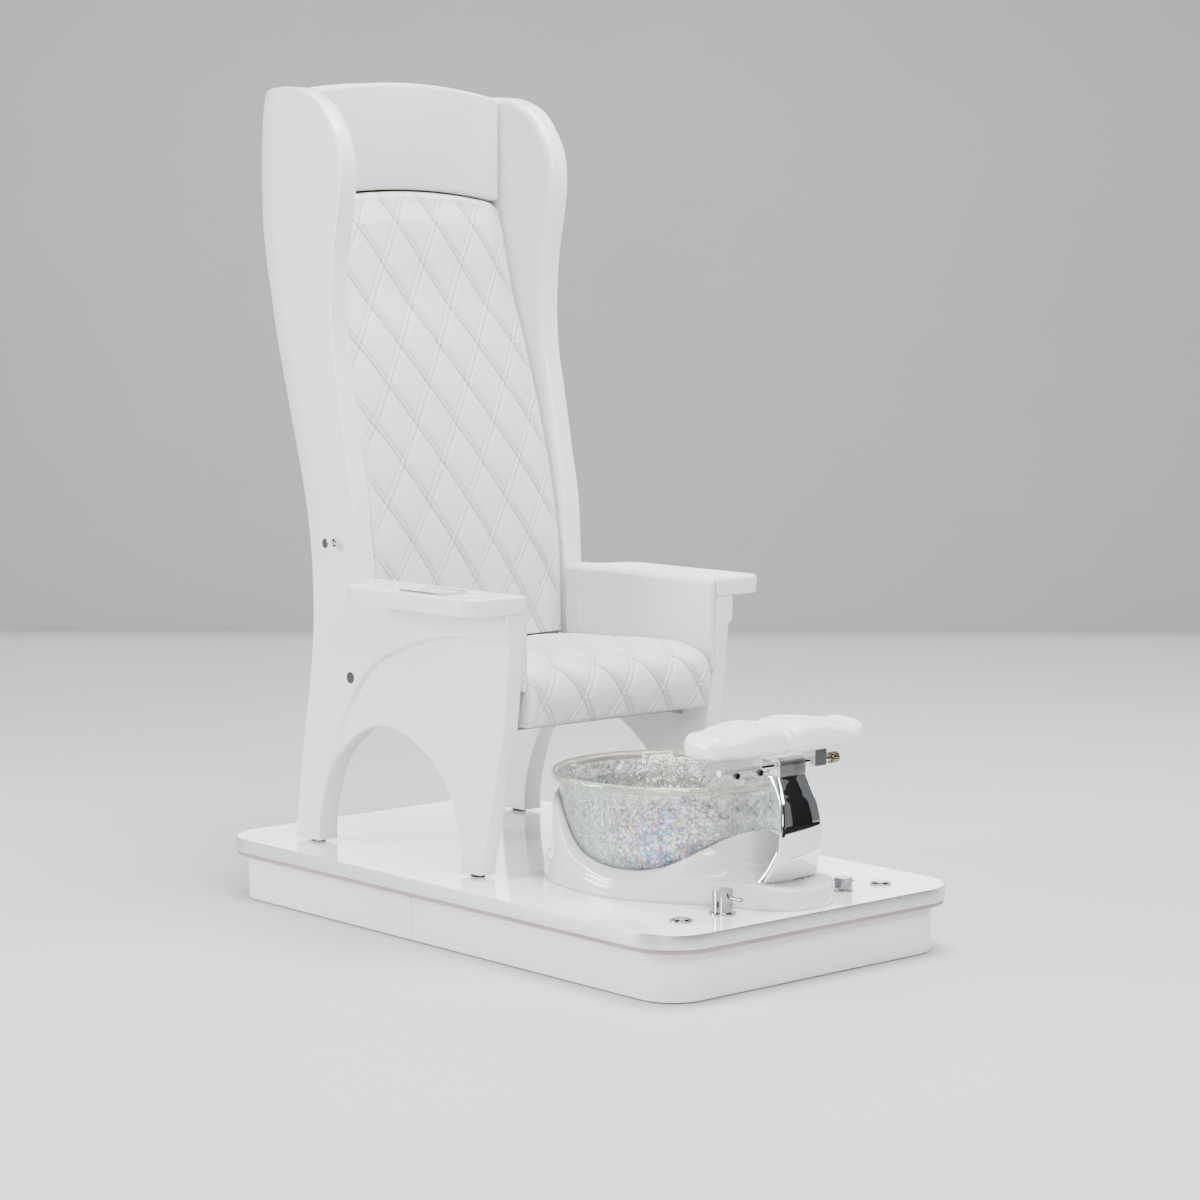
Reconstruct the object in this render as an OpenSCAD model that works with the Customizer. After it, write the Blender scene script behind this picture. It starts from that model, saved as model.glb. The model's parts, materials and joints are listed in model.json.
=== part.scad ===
// Pedicure spa chair: a throne chair with a glass foot bowl on a low platform.
// Frame: +X is to the right seen from the front, +Y to the back, +Z up.
// Origin: middle of the deck's footprint, on the floor. Millimetres.

/* [Platform] */
// Width of the deck
deck_w = 762; // [740:1:860]
// Length of the deck
deck_l = 1364; // [1340:1:1500]
// Corner radius of the deck
deck_r = 100; // [70:1:130]
// Thickness of the deck board
deck_t = 27; // [18:1:36]
// Thickness of the metal band round the deck
band_t = 2.5; // [1.5:0.5:5]
// Height of the dark strip under the deck
reveal_h = 8; // [5:1:14]
// Height of the skirt's top above the floor
plinth_h = 92; // [80:1:130]
// How far the skirt stands in from the deck's edge
plinth_inset = 25; // [15:1:40]
// Thickness of the skirt boards
plinth_t = 12; // [9:1:18]
// Height of the frame's box tubes
tube_h = 40; // [30:1:45]
// Width of the frame's box tubes
tube_w = 25; // [20:1:35]
// Wall of the box tubes
tube_wall = 2; // [1.5:0.5:3]

/* [Chair] */
// Half the distance between the inner faces of the side shells
shell_in = 246; // [236:1:260]
// Thickness of a side shell
shell_t = 46; // [38:1:56]
// Depth of the recessed field on the outer face of a side shell
relief_t = 10; // [5:1:16]
// Height of the wings above the deck
wing_h = 1508; // [1490:1:1530]
// Height of the top of the arm shelf above the deck
arm_h = 543; // [535:1:555]
// Thickness of the arm shelf
arm_t = 34; // [30:1:40]
// Half the width over both arm shelves
arm_half = 378; // [365:1:395]
// Thickness of the moulded back shell
back_t = 10; // [6:1:14]
// Height of the middle of the back shell above its ends
back_arch = 26; // [10:1:36]
// Width of one quilted diamond
quilt_w = 100; // [80:5:125]
// Height of one quilted diamond
quilt_h = 156; // [120:4:180]
// Depth of the sewn channels
quilt_d = 7; // [3:1:9]
// Thickness of the back cushion at its edge
back_pad_t = 58; // [45:1:62]
// Thickness of the inner arm pads
arm_pad_t = 10; // [6:1:14]
// Side of the hatch in the arm shelf, across the chair
hatch_w = 72; // [60:1:80]
// Side of the hatch in the arm shelf, along the chair
hatch_l = 110; // [90:1:130]
// Diameter of the polish bottle well
well_d = 44; // [30:1:50]

/* [Foot bath] */
// Distance of the bowl's axis behind the deck's front edge
bowl_in = 392; // [382:1:402]
// Radius of the bowl at the middle of its rolled rim
rim_r = 231; // [226:1:236]
// Radius of the rolled rim
rim_tube_r = 7.5; // [6:0.5:9]
// Height of the rim's middle above the deck
rim_h = 205; // [200:1:214]
// Thickness of the glass
glass_t = 8; // [5:0.5:10]
// Height of the ledge that the footrest stands on
ledge_h = 45; // [40:1:52]
// Gap between the bowl and its surround
seat_gap = 1; // [0.5:0.5:2]

/* [Footrest] */
// Height of the tilt axle above the deck
axle_h = 255; // [252:1:262]
// Radius of the tilt axle
axle_r = 6; // [5:0.5:7]
// Half the length of the foot pad
pad_half = 205; // [190:1:225]
// Depth of the foot pad, front to back
pad_d = 124; // [110:1:134]
// Thickness of the foot pad at its edge
pad_t = 42; // [34:1:48]

/* [Controls] */
// Distance of the valves from the middle
valve_x = 155; // [150:1:175]
// Distance of the push buttons from the deck's side edge
button_in = 126; // [111:1:141]
// Distance of the controls behind the deck's front edge
control_in = 105; // [97:1:122]
// Diameter of a valve body
valve_d = 38; // [32:1:42]
// Diameter of a push button's rim
button_d = 42; // [36:1:48]
// Travel of a push button
button_travel = 2.5; // [1.5:0.5:3]

/* [Hidden] */

$fn = 64;
eps = 0.01;
gap = 0.3;          // between pieces that only lie against each other
run = 0.05;         // radial running clearance of pins and shafts
deck_z = plinth_h + reveal_h + deck_t;
board_z = plinth_h + reveal_h;
floor_gap = 2;
frame_x = deck_w / 2 - plinth_inset - plinth_t - 3;
frame_y = deck_l / 2 - plinth_inset - plinth_t - 48;
shell_out = shell_in + shell_t;
glide_h = 6;
glide_r = 14;
shelf_z = deck_z + arm_h;
apron_h = arm_h - arm_t;
bowl_y = bowl_in - deck_l / 2;
control_y = deck_l / 2 - control_in;
button_x = deck_w / 2 - button_in;
skirt_in_y = deck_l / 2 - plinth_inset - plinth_t;
front_rail_y = -control_y + 21;
frame_rail_y = [front_rail_y, bowl_y - 140, bowl_y + 165, 90, frame_y - 82, frame_y - tube_w];

// ---- helpers -------------------------------------------------------------
function sum(v, i = 0) = i >= len(v) ? 0 : v[i] + sum(v, i + 1);
function clamp(v, lo, hi) = min(hi, max(lo, v));
// smooth curve through points: Catmull-Rom, n steps for each stretch
function cr(a, b, c, d, t) = 0.5 * (2 * b + (c - a) * t + (2 * a - 5 * b + 4 * c - d) * t * t
    + (3 * b - a - 3 * c + d) * t * t * t);
function curve(p, n = 4) = concat([for (i = [0:len(p) - 2]) for (k = [0:n - 1])
    cr(p[max(0, i - 1)], p[i], p[i + 1], p[min(len(p) - 1, i + 2)], k / n)], [p[len(p) - 1]]);
// straight stretches through points, n steps each
function steps(p, n) = concat([for (i = [0:len(p) - 2]) for (k = [0:n - 1])
    p[i] + (p[i + 1] - p[i]) * k / n], [p[len(p) - 1]]);
function arc(cx, cy, r, a0, a1, n = 8) = [for (i = [0:n])
    [cx + r * cos(a0 + (a1 - a0) * i / n), cy + r * sin(a0 + (a1 - a0) * i / n)]];

module round_rect(w, l, r) {
    square([w - 2 * r, l], center = true);
    square([w, l - 2 * r], center = true);
    for (x = [-1, 1], y = [-1, 1]) translate([x * (w / 2 - r), y * (l / 2 - r)]) circle(r);
}
module ring_rect(w, l, r, t) {
    difference() {
        round_rect(w, l, r);
        round_rect(w - 2 * t, l - 2 * t, r - t);
    }
}
// a flat shape drawn in (Y, Z), thickened along X from x0 to x1
module along_x(x0, x1) {
    translate([x0, 0, 0]) rotate([90, 0, 90]) linear_extrude(x1 - x0) children();
}
module rod_x(x0, x1, y, z, r) { translate([x0, y, z]) rotate([0, 90, 0]) cylinder(h = x1 - x0, r = r); }
module rod_y(y0, y1, x, z, r) { translate([x, y1, z]) rotate([90, 0, 0]) cylinder(h = y1 - y0, r = r); }
module rod_z(z0, z1, x, y, r) { translate([x, y, z0]) cylinder(h = z1 - z0, r = r); }
module both_sides() {
    children();
    mirror([1, 0, 0]) children();
}
// closed surface through rings of equal length, with flat ends
module loft(rings) {
    n = len(rings[0]);
    m = len(rings);
    pts = [for (r = rings) each r];
    sides = [for (j = [0:m - 2], i = [0:n - 1]) each [
        [j * n + i, (j + 1) * n + (i + 1) % n, j * n + (i + 1) % n],
        [j * n + i, (j + 1) * n + i, (j + 1) * n + (i + 1) % n]]];
    bottom = [for (i = [1:n - 2]) [0, i, i + 1]];
    top = [for (i = [1:n - 2]) [(m - 1) * n, (m - 1) * n + i + 1, (m - 1) * n + i]];
    polyhedron(concat(pts), concat(sides, bottom, top), convexity = 6);
}
// closed pad: a grid of front points and a plain back. Rows run up, columns to +X.
module pad_form(front, back) {
    rows = len(front);
    cols = len(front[0]);
    rim = concat([for (i = [0:cols - 1]) [0, i]], [for (j = [1:rows - 1]) [j, cols - 1]],
        [for (i = [cols - 2:-1:0]) [rows - 1, i]], [for (j = [rows - 2:-1:1]) [j, 0]]);
    n = len(rim);
    off = rows * cols;
    pts = concat([for (r = front) each r], [for (k = rim) back[k[0]][k[1]]]);
    skin = [for (j = [0:rows - 2], i = [0:cols - 2]) each [
        [j * cols + i, (j + 1) * cols + i, j * cols + i + 1],
        [j * cols + i + 1, (j + 1) * cols + i, (j + 1) * cols + i + 1]]];
    side = [for (k = [0:n - 1]) each [
        [rim[k][0] * cols + rim[k][1], rim[(k + 1) % n][0] * cols + rim[(k + 1) % n][1], off + k],
        [rim[(k + 1) % n][0] * cols + rim[(k + 1) % n][1], off + (k + 1) % n, off + k]]];
    // the back: strips between the ring's left and right corners of each row
    function r_at(j) = off + cols - 1 + j;
    function l_at(j) = j == 0 ? off : off + n - j;
    first = concat([for (i = [1:cols - 1]) [off + i - 1, off + i, l_at(1)]], [[r_at(0), r_at(1), l_at(1)]]);
    mid = [for (j = [1:1:rows - 3]) each [
        [l_at(j), r_at(j), l_at(j + 1)], [r_at(j), r_at(j + 1), l_at(j + 1)]]];
    last = concat([[l_at(rows - 2), r_at(rows - 2), r_at(rows - 1)]],
        [for (i = [0:cols - 2]) [l_at(rows - 2), r_at(rows - 1) + i, r_at(rows - 1) + i + 1]]);
    polyhedron(pts, concat(skin, side, first, mid, last), convexity = 6);
}

// ---- platform ------------------------------------------------------------
module box_tube_x(x0, x1, y, z) {
    translate([x0, y, z]) difference() {
        cube([x1 - x0, tube_w, tube_h]);
        translate([-1, tube_wall, tube_wall])
            cube([x1 - x0 + 2, tube_w - 2 * tube_wall, tube_h - 2 * tube_wall]);
    }
}
module box_tube_y(y0, y1, x, z) {
    translate([x, y0, z]) difference() {
        cube([tube_w, y1 - y0, tube_h]);
        translate([tube_wall, -1, tube_wall])
            cube([tube_w - 2 * tube_wall, y1 - y0 + 2, tube_h - 2 * tube_wall]);
    }
}
foot_y = [-frame_y + 60, 60, frame_y - 60];
foot_stud_r = 6;
module each_foot() { for (s = [-1, 1], y = foot_y) translate([s * (frame_x - tube_w / 2), y, 0]) children(); }
module base_frame() {
    z = board_z - tube_h;
    color("dimgray") difference() {
        union() {
            box_tube_y(-frame_y, frame_y, -frame_x, z);
            box_tube_y(-frame_y, frame_y, frame_x - tube_w, z);
            for (y = frame_rail_y) box_tube_x(-frame_x + tube_w, frame_x - tube_w, y, z);
        }
        each_foot() rod_z(z - 1, z + tube_wall + 1, 0, 0, foot_stud_r + gap);
    }
}
module leveling_feet() {
    color("black") each_foot() {
        cylinder(h = 9, r1 = tube_w / 2 + 2, r2 = tube_w / 2 - 2);
        rod_z(9 - eps, board_z - tube_h + tube_wall + 18, 0, 0, foot_stud_r);
        rod_z(board_z - tube_h - 8, board_z - tube_h - gap, 0, 0, 10);
    }
}
seam_y = 69;
skirt_w = deck_w - 2 * plinth_inset;
skirt_l = deck_l - 2 * plinth_inset;
module skirt(y0, y1) {
    translate([0, 0, floor_gap]) intersection() {
        linear_extrude(plinth_h - floor_gap) ring_rect(skirt_w, skirt_l, deck_r - plinth_inset, plinth_t);
        translate([-deck_w, y0, -1]) cube([2 * deck_w, y1 - y0, plinth_h + 2]);
    }
}
module plinth_front() { color("white") skirt(-deck_l, seam_y - 0.5); }
module plinth_rear() { color("white") skirt(seam_y + 0.5, deck_l); }
module skirt_brackets() {
    leg = 30;
    t = 3;
    z = board_z - tube_h - leg;
    bracket_y = [foot_y[0] + 177, foot_y[1] - 100, foot_y[1] + 120, foot_y[2] - 77];
    color("silver") {
        for (s = [-1, 1], y = bracket_y) scale([s, 1, 1]) {
            translate([frame_x - leg + 3 - gap, y, z + leg - t - gap]) cube([leg, leg, t]);
            translate([frame_x + 3 - t - gap, y, z]) cube([t, leg, leg - gap]);
        }
        for (e = [[-1, -front_rail_y - tube_w], [1, frame_y - tube_w]], x = [-150, 120]) scale([1, e[0], 1]) {
            translate([x, e[1], z + leg - t - gap]) cube([leg, skirt_in_y - gap - e[1], t]);
            translate([x, skirt_in_y - t - gap, z]) cube([leg, t, leg - gap]);
        }
    }
}
module reveal_strip() {
    inset = 3;
    color("rosybrown") translate([0, 0, plinth_h]) linear_extrude(reveal_h)
        ring_rect(deck_w - 2 * inset, deck_l - 2 * inset, deck_r - inset, plinth_inset + plinth_t - inset);
}
bolt_r = 4;
column_bolt_x = 42;
column_y = bowl_y - 300;
sump_r = 104;
module deck_panel() {
    color("white") translate([0, 0, board_z]) difference() {
        linear_extrude(deck_t) round_rect(deck_w - 2 * band_t, deck_l - 2 * band_t, deck_r - band_t);
        rod_z(-1, deck_t + 1, 0, bowl_y, sump_r);
        for (s = [-1, 1]) {
            rod_z(-1, deck_t + 1, s * valve_x, -control_y, valve_d / 2 - 6);
            rod_z(-1, deck_t + 1, s * button_x, -control_y, button_d / 2 - 6);
            rod_z(-1, deck_t + 1, s * column_bolt_x, column_y, bolt_r + gap);
        }
        each_glide() rod_z(-1, deck_t + 1, 0, 0, bolt_r + gap);
    }
}
module edge_band() {
    color("silver") translate([0, 0, board_z]) linear_extrude(deck_t)
        ring_rect(deck_w, deck_l, deck_r, band_t);
}

// ---- chair shells --------------------------------------------------------
// outline heights are given for an arm at 543 and wings at 1508: those above the arm follow the
// wings' height and those below it follow the arm's
function up(h) = arm_h + (h - 543) * (wing_h - arm_h) / (1508 - 543);
function low(h) = h * arm_h / 543;
// outline points are [Y, height above the deck]
front_edge = [[-49, glide_h], [-60, low(50)], [-78, low(120)], [-97, low(200)], [-117, low(280)],
    [-130, low(380)], [-137, low(450)], [-139, apron_h]];
wing_front = [[314, apron_h], [317, up(563)], [325, up(680)], [345, up(780)], [371, up(910)], [386, up(980)],
    [392, up(1065)], [386, up(1170)], [370, up(1250)], [359, up(1325)], [366, up(1385)], [390, up(1430)],
    [430, up(1474)], [490, up(1501)], [540, wing_h]];
wing_back = [[612, wing_h], [630, up(1500)], [637, up(1480)], [645, up(1430)], [649, up(1330)],
    [646, up(1240)], [634, up(1160)], [620, up(1099)], [602, up(1017)], [571, up(908)], [536, up(801)],
    [506, up(713)], [484, up(630)], [471, up(555)],
    [465, 470], [468, 413], [478, 331], [494, 249], [508, 166], [522, 82], [530, glide_h]];
arch_edge = [[450, glide_h], [446, 60], [432, 110], [405, 170], [360, 215], [305, 247], [250, 258],
    [200, 254], [150, 236], [105, 210], [70, 183], [44, 146], [24, 100], [13, 50], [10, glide_h]];
relief_edge = [[-170, low(455)], [-92, low(459)], [27, low(455)], [88, low(445)], [150, low(430)],
    [213, low(407)], [261, low(384)], [303, low(351)], [343, low(307)], [379, low(263)], [403, low(211)],
    [425, low(160)], [441, low(100)], [452, glide_h - 2]];
function back_line(h) = lookup(h, [for (p = curve([for (i = [len(wing_back) - 1:-1:3]) wing_back[i]]))
    [p[1], p[0]]]);
module shell_outline() {
    polygon(concat(curve(front_edge), curve(wing_front), curve(wing_back), curve(arch_edge)));
}
bolt_spots = [[341, 347], [20, 330]];
hook_spot = [386, 611];
bolt_depth = 26;
cap_r = 11.5;
module side_shell() {
    difference() {
        translate([0, 0, deck_z]) union() {
            along_x(shell_in, shell_out - relief_t) shell_outline();
            along_x(shell_out - relief_t - eps, shell_out) difference() {
                shell_outline();
                polygon(concat(curve(relief_edge), [[452, -20], [-300, -20], [-300, low(455)]]));
            }
        }
        rod_x(shell_in - 1, shell_out + 1, bolt_spots[0][0], deck_z + bolt_spots[0][1], bolt_r + gap);
        rod_x(shell_out - 12, shell_out + 1, bolt_spots[0][0], deck_z + bolt_spots[0][1], cap_r + gap);
        rod_x(shell_in - 1, shell_in + bolt_depth, bolt_spots[1][0], deck_z + bolt_spots[1][1], bolt_r + gap);
        each_glide() rod_z(deck_z, deck_z + glide_h + 32, 0, 0, bolt_r + gap);
    }
}
glide_x = shell_in + (shell_t - relief_t) / 2;
glide_y = [-20, 490];
module each_glide() { for (s = [-1, 1], y = glide_y) translate([s * glide_x, y, 0]) children(); }
module side_shell_right() { color("whitesmoke") side_shell(); }
module side_shell_left() { color("whitesmoke") mirror([1, 0, 0]) side_shell(); }

back_inset = 6;
back_low = 262;
module back_shell() {
    hs = [for (i = [0:26]) back_low + (wing_h + back_arch + 4 - back_low) * i / 26];
    outer = [for (h = hs) [back_line(h) - back_inset, h]];
    inner = [for (i = [len(hs) - 1:-1:0]) [back_line(hs[i]) - back_inset - back_t, hs[i]]];
    half = shell_in - gap;
    color("whitesmoke") translate([0, 0, deck_z]) intersection() {
        along_x(-half, half) polygon(concat(outer, inner));
        translate([0, 700, 0]) rotate([90, 0, 0]) linear_extrude(700) polygon(concat(
            [[-half, 0], [half, 0]], [for (i = [0:20]) let (x = half * (1 - i / 10))
            [x, wing_h - 6 + back_arch * (1 - pow(x / half, 2))]]));
    }
}
// front of the back cushion at its edge, against height
pad_line = [[402, 317], [531, 320], [up(614), 327], [up(721), 348], [up(813), 372], [up(914), 403],
    [up(1021), 440], [up(1098), 470], [up(1202), 497], [up(1290), 522], [up(1400), 520], [up(1540), 508]];
function pad_front(h) = lookup(h, pad_line);
board_t = 15;
board_low = 312;
head_low = up(1288);
head_rise = 24;
head_top = wing_h - 4;
function board_y(h) = pad_front(max(h, 402)) + back_pad_t + gap;
module back_board() {
    hs = concat([board_low], [for (p = pad_line) if (p[0] < head_top - 20) p[0]], [head_top - 12]);
    color("burlywood") translate([0, 0, deck_z]) along_x(-shell_in + 8, shell_in - 8) polygon(concat(
        [for (h = hs) [board_y(h), h]],
        [for (i = [len(hs) - 1:-1:0]) [board_y(hs[i]) + board_t, hs[i]]]));
}
module back_battens() {
    color("burlywood") for (h = [360, up(860), up(1330)]) {
        y0 = max(board_y(h), board_y(h + 40)) + board_t + gap;
        y1 = min(back_line(h), back_line(h + 40)) - back_inset - back_t - gap;
        translate([-shell_in + 20, y0, deck_z + h]) cube([2 * shell_in - 40, y1 - y0, 40]);
    }
}
// columns and rows that fall on the sewn lines
cushion_half = shell_in - 3;
quilt_cols = concat([-cushion_half, -cushion_half + 7],
    [for (x = [-9:9]) x * quilt_w / 4 * min(1, (cushion_half - 16) / (9 * quilt_w / 4))],
    [cushion_half - 7, cushion_half]);
function puff(x, s) = let (u = 180 * (x / quilt_w + s / quilt_h), v = 180 * (x / quilt_w - s / quilt_h))
    sqrt(abs(sin(u) * sin(v)));
// fall-off towards an edge at distance e: a quarter ellipse w wide and d deep
function edge_drop(e, w, d) = e >= w ? 0 : d * (1 - sqrt(max(0, 1 - pow(1 - e / w, 2))));
module back_cushion() {
    low = 404;
    high = head_low - 5;
    n = 44;
    hs = concat([low, low + 8], [for (j = [1:n - 1]) low + (high - low) * j / n], [high - 8, high]);
    crown = 14;
    function height(h, x) = h + head_rise / 2 * (1 - pow(x / cushion_half, 2))
        * clamp((h - high + 200) / 200, 0, 1);
    front = [for (h = hs) [for (x = quilt_cols)
        let (e = min(cushion_half - abs(x), high - h + 4))
        [x, pad_front(h) - crown * (1 - pow(x / cushion_half, 2)) + edge_drop(e, 26, 20)
            - quilt_d * (puff(x, h - 844) - 0.6) * (e > 6 ? 1 : 0), deck_z + height(h, x)]]];
    back = [for (h = hs) [for (x = quilt_cols) [x, board_y(height(h, x)) - 2 * gap, deck_z + height(h, x)]]];
    color("white") pad_form(front, back);
}
module headrest_pad() {
    xs = [for (i = [-7:7]) cushion_half * sin(i * 90 / 7)];
    n = 12;
    front = [for (j = [0:n]) [for (x = xs)
        let (t = 0.5 - 0.5 * cos(j * 180 / n), arc_z = head_rise * (1 - pow(x / cushion_half, 2)),
            h = head_low + t * (head_top - head_low) + arc_z * (0.55 + 0.45 * t) - 2,
            e = min(cushion_half - abs(x) + 1, t * (head_top - head_low) + 1,
                (1 - t) * (head_top - head_low) + 1))
        [x, 520 - 10 * (1 - pow(x / cushion_half, 2)) + edge_drop(e, 16, 15), deck_z + h]]];
    back = [for (j = [0:n]) [for (i = [0:len(xs) - 1])
        [xs[i], board_y(head_top) - gap, front[j][i][2]]]];
    color("white") pad_form(front, back);
}

// ---- seat ----------------------------------------------------------------
seat_top = 400;
seat_board_z = 296;
seat_board_t = 15;
seat_tube = 30;
module seat_frame() {
    z = deck_z + seat_board_z - gap - seat_tube;
    color("dimgray") {
        for (s = [-1, 1]) scale([s, 1, 1]) difference() {
            translate([shell_in - gap - 5, -40, z]) cube([5, 420, seat_tube + 62]);
            for (p = bolt_spots) rod_x(shell_in - 10, shell_in + 1, p[0], deck_z + p[1], bolt_r + gap);
        }
        for (y = [0, 330]) translate([-shell_in + gap + 5, y, z])
            cube([2 * (shell_in - gap - 5), seat_tube, seat_tube]);
    }
}
module seat_board() {
    color("burlywood") translate([-shell_in + 8, -96, deck_z + seat_board_z])
        cube([2 * shell_in - 16, 396, seat_board_t]);
}
seat_line = [[300, seat_top - 1], [195, seat_top + 4], [73, seat_top + 10], [-22, seat_top + 14],
    [-70, seat_top + 11], [-100, seat_top + 5], [-120, seat_top - 4], [-134, seat_top - 18],
    [-142, seat_top - 40], [-143, seat_top - 66], [-138, seat_top - 92], [-130, seat_top - 110]];
seat_half = shell_in - arm_pad_t - 3;
module seat_cushion() {
    cols = concat([-seat_half, -seat_half + 7],
        [for (x = [-9:9]) x * quilt_w / 4 * min(1, (seat_half - 16) / (9 * quilt_w / 4))],
        [seat_half - 7, seat_half]);
    line = curve(seat_line, 3);
    m = len(line) - 1;
    // running length along the profile, from the back
    run_s = [for (j = [0:m]) j == 0 ? 0 : sum([for (k = [1:j]) norm(line[k] - line[k - 1])])];
    normal = [for (j = [0:m]) let (d = line[min(m, j + 1)] - line[max(0, j - 1)]) [-d[1], d[0]] / norm(d)];
    front = [for (j = [m:-1:0]) [for (x = cols)
        let (e = min(seat_half - abs(x), run_s[j] + 4, run_s[m] - run_s[j] + 8),
            lift = 6 * (1 - pow(x / seat_half, 2)) - edge_drop(e, 24, 16)
                + quilt_d * (puff(x, (run_s[j] - run_s[m] + 50)) - 0.6) * (e > 9 ? 1 : 0))
        [x, line[j][0] - normal[j][0] * lift, deck_z + line[j][1] - normal[j][1] * lift]]];
    low = seat_board_z + seat_board_t + gap;
    under = steps(concat([for (y = [298, 195, 73, -22, -70, -80, -86, -90, -94, -97]) [y, low]],
        [[-98, (low + seat_top - 110) / 2], [-99, seat_top - 109]]), 3);
    back = [for (j = [m:-1:0]) [for (x = cols) [x, under[j][0], deck_z + under[j][1]]]];
    color("white") pad_form(front, back);
}

// ---- arms ----------------------------------------------------------------
shelf_front = -142;
shelf_rear = 262;
shelf_r = 46;
hatch_x = shell_in + 80;
hatch_y = 34;
well_x = hatch_x + 12;
well_y = -90;
hatch_z = 3;
module shelf_outline() {
    polygon(concat([[shell_in, shelf_front]],
        arc(arm_half - shelf_r, shelf_front + shelf_r, shelf_r, -90, 0, 10),
        arc(arm_half - shelf_r, shelf_rear - shelf_r, shelf_r, 0, 70, 8),
        curve([[shell_out + 22, shelf_rear + 4], [shell_out + 6, shelf_rear + 16],
            [shell_out, shelf_rear + 42], [shell_out, 314 - gap]]),
        [[shell_in, 314 - gap]]));
}
module arm_shelf_right() {
    color("whitesmoke") translate([0, 0, shelf_z - arm_t]) linear_extrude(arm_t) shelf_outline();
}
module arm_shelf_left() {
    color("whitesmoke") mirror([1, 0, 0]) difference() {
        translate([0, 0, shelf_z - arm_t]) linear_extrude(arm_t) shelf_outline();
        translate([hatch_x - hatch_w / 2 + 4, hatch_y - hatch_l / 2 + 4, shelf_z - 26])
            cube([hatch_w - 8, hatch_l - 8, 30]);
        rod_z(shelf_z - 12, shelf_z + 1, well_x, well_y, well_d / 2);
    }
}
module arm_pad() {
    r = 8;
    y0 = -136;
    y1 = 300;
    x0 = shell_in - arm_pad_t;
    x1 = shell_in - gap;
    color("gainsboro") intersection() {
        along_x(x0, x1)
            polygon([[y0, deck_z + 362], [y1, deck_z + 362], [y1, shelf_z - 3], [y0, shelf_z - 3]]);
        translate([0, y1 + 1, 0]) rotate([90, 0, 0]) linear_extrude(y1 - y0 + 2) polygon(concat(
            [[x1, deck_z + 300], [x1, shelf_z - 2]], arc(x0 + r, shelf_z - 3 - r, r, 90, 180, 6),
            [[x0, deck_z + 300]]));
    }
}
module arm_pad_right() { arm_pad(); }
module arm_pad_left() { mirror([1, 0, 0]) arm_pad(); }
hinge_r = 1.6;
hinge_y = hatch_y + hatch_l / 2 - 7;
hinge_z = shelf_z - 0.6;
lid_t = 3;
module hatch_rim() {
    w = 4.5;
    color("silver") difference() {
        union() {
            translate([-hatch_x, hatch_y, shelf_z + gap / 2]) linear_extrude(hatch_z)
                ring_rect(hatch_w + 6, hatch_l + 6, 6, w);
            translate([-hatch_x, hatch_y, shelf_z - 20]) linear_extrude(20 + hatch_z)
                ring_rect(hatch_w - 8 - 2 * gap, hatch_l - 8 - 2 * gap, 3, 1.5);
            translate([-hatch_x, hatch_y, shelf_z + gap / 2]) linear_extrude(1.2)
                ring_rect(hatch_w, hatch_l, 7, 6);
        }
        translate([-hatch_x - hatch_w / 2 + 6, hinge_y - 4, shelf_z - 5])
            cube([hatch_w - 12, 20, 10]);
        translate([-hatch_x - hatch_w / 2 + 6, hatch_y - hatch_l / 2 + 3.5, shelf_z - 1])
            cube([hatch_w - 12, 12, 10]);
        rod_x(-hatch_x - hatch_w / 2 + 2, -hatch_x + hatch_w / 2 - 2, hinge_y, hinge_z, hinge_r);
    }
}
module hatch_hinge_pin() {
    half = hatch_w / 2 - 4 - gap;
    color("silver") rod_x(-hatch_x - half, -hatch_x + half, hinge_y, hinge_z, hinge_r);
}
module hatch_lid() {
    w = hatch_w - 13;
    color("whitesmoke") difference() {
        union() {
            translate([-hatch_x - w / 2, hatch_y - hatch_l / 2 + 4, shelf_z + 1])
                cube([w, hinge_y - hatch_y + hatch_l / 2 - 5, lid_t - 1]);
            rod_x(-hatch_x - w / 2, -hatch_x + w / 2, hinge_y, hinge_z, 3);
            translate([-hatch_x - w / 2, hinge_y - 3, hinge_z]) cube([w, 3, 2.4]);
        }
        rod_x(-hatch_x - w, -hatch_x + w, hinge_y, hinge_z, hinge_r + run);
    }
}
module outlet_module() {
    w = hatch_w - 8 - 2 * gap - 5;
    l = hatch_l - 40;
    color("black") difference() {
        translate([-hatch_x - w / 2, hatch_y - hatch_l / 2 + 8, shelf_z - 26 + gap]) cube([w, l, 18]);
        for (i = [-1, 1]) translate([-hatch_x + i * 15 - 6, hatch_y - hatch_l / 2 + 20, shelf_z - 20])
            cube([12, 5, 20]);
    }
}

// ---- chair fittings ------------------------------------------------------
module purse_hook() {
    y = hook_spot[0];
    z = deck_z + hook_spot[1];
    color("silver") {
        rod_x(-shell_out - 4, -shell_out - gap / 2, y, z, 9);
        rod_x(-shell_out - 22, -shell_out - 4 + eps, y, z, 3);
        rod_x(-shell_out - 26, -shell_out - 22 + eps, y, z, 10);
    }
}
module bolt_caps() {
    p = bolt_spots[0];
    color("dimgray") both_sides() rod_x(shell_out - 2, shell_out + 1.2, p[0], deck_z + p[1], cap_r);
}
module shell_bolts() {
    color("silver") both_sides() {
        p = bolt_spots[0];
        q = bolt_spots[1];
        rod_x(shell_in - 14, shell_out - 12, p[0], deck_z + p[1], bolt_r);
        rod_x(shell_out - 12 - eps, shell_out - 7, p[0], deck_z + p[1], 7.5);
        rod_x(shell_in - 13, shell_in - 5 - 2 * gap, p[0], deck_z + p[1], 7);
        rod_x(shell_in - 6 - gap, shell_in + bolt_depth - 2, q[0], deck_z + q[1], bolt_r);
        rod_x(shell_in - 11, shell_in - 5 - 2 * gap, q[0], deck_z + q[1], 7);
    }
}
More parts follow.
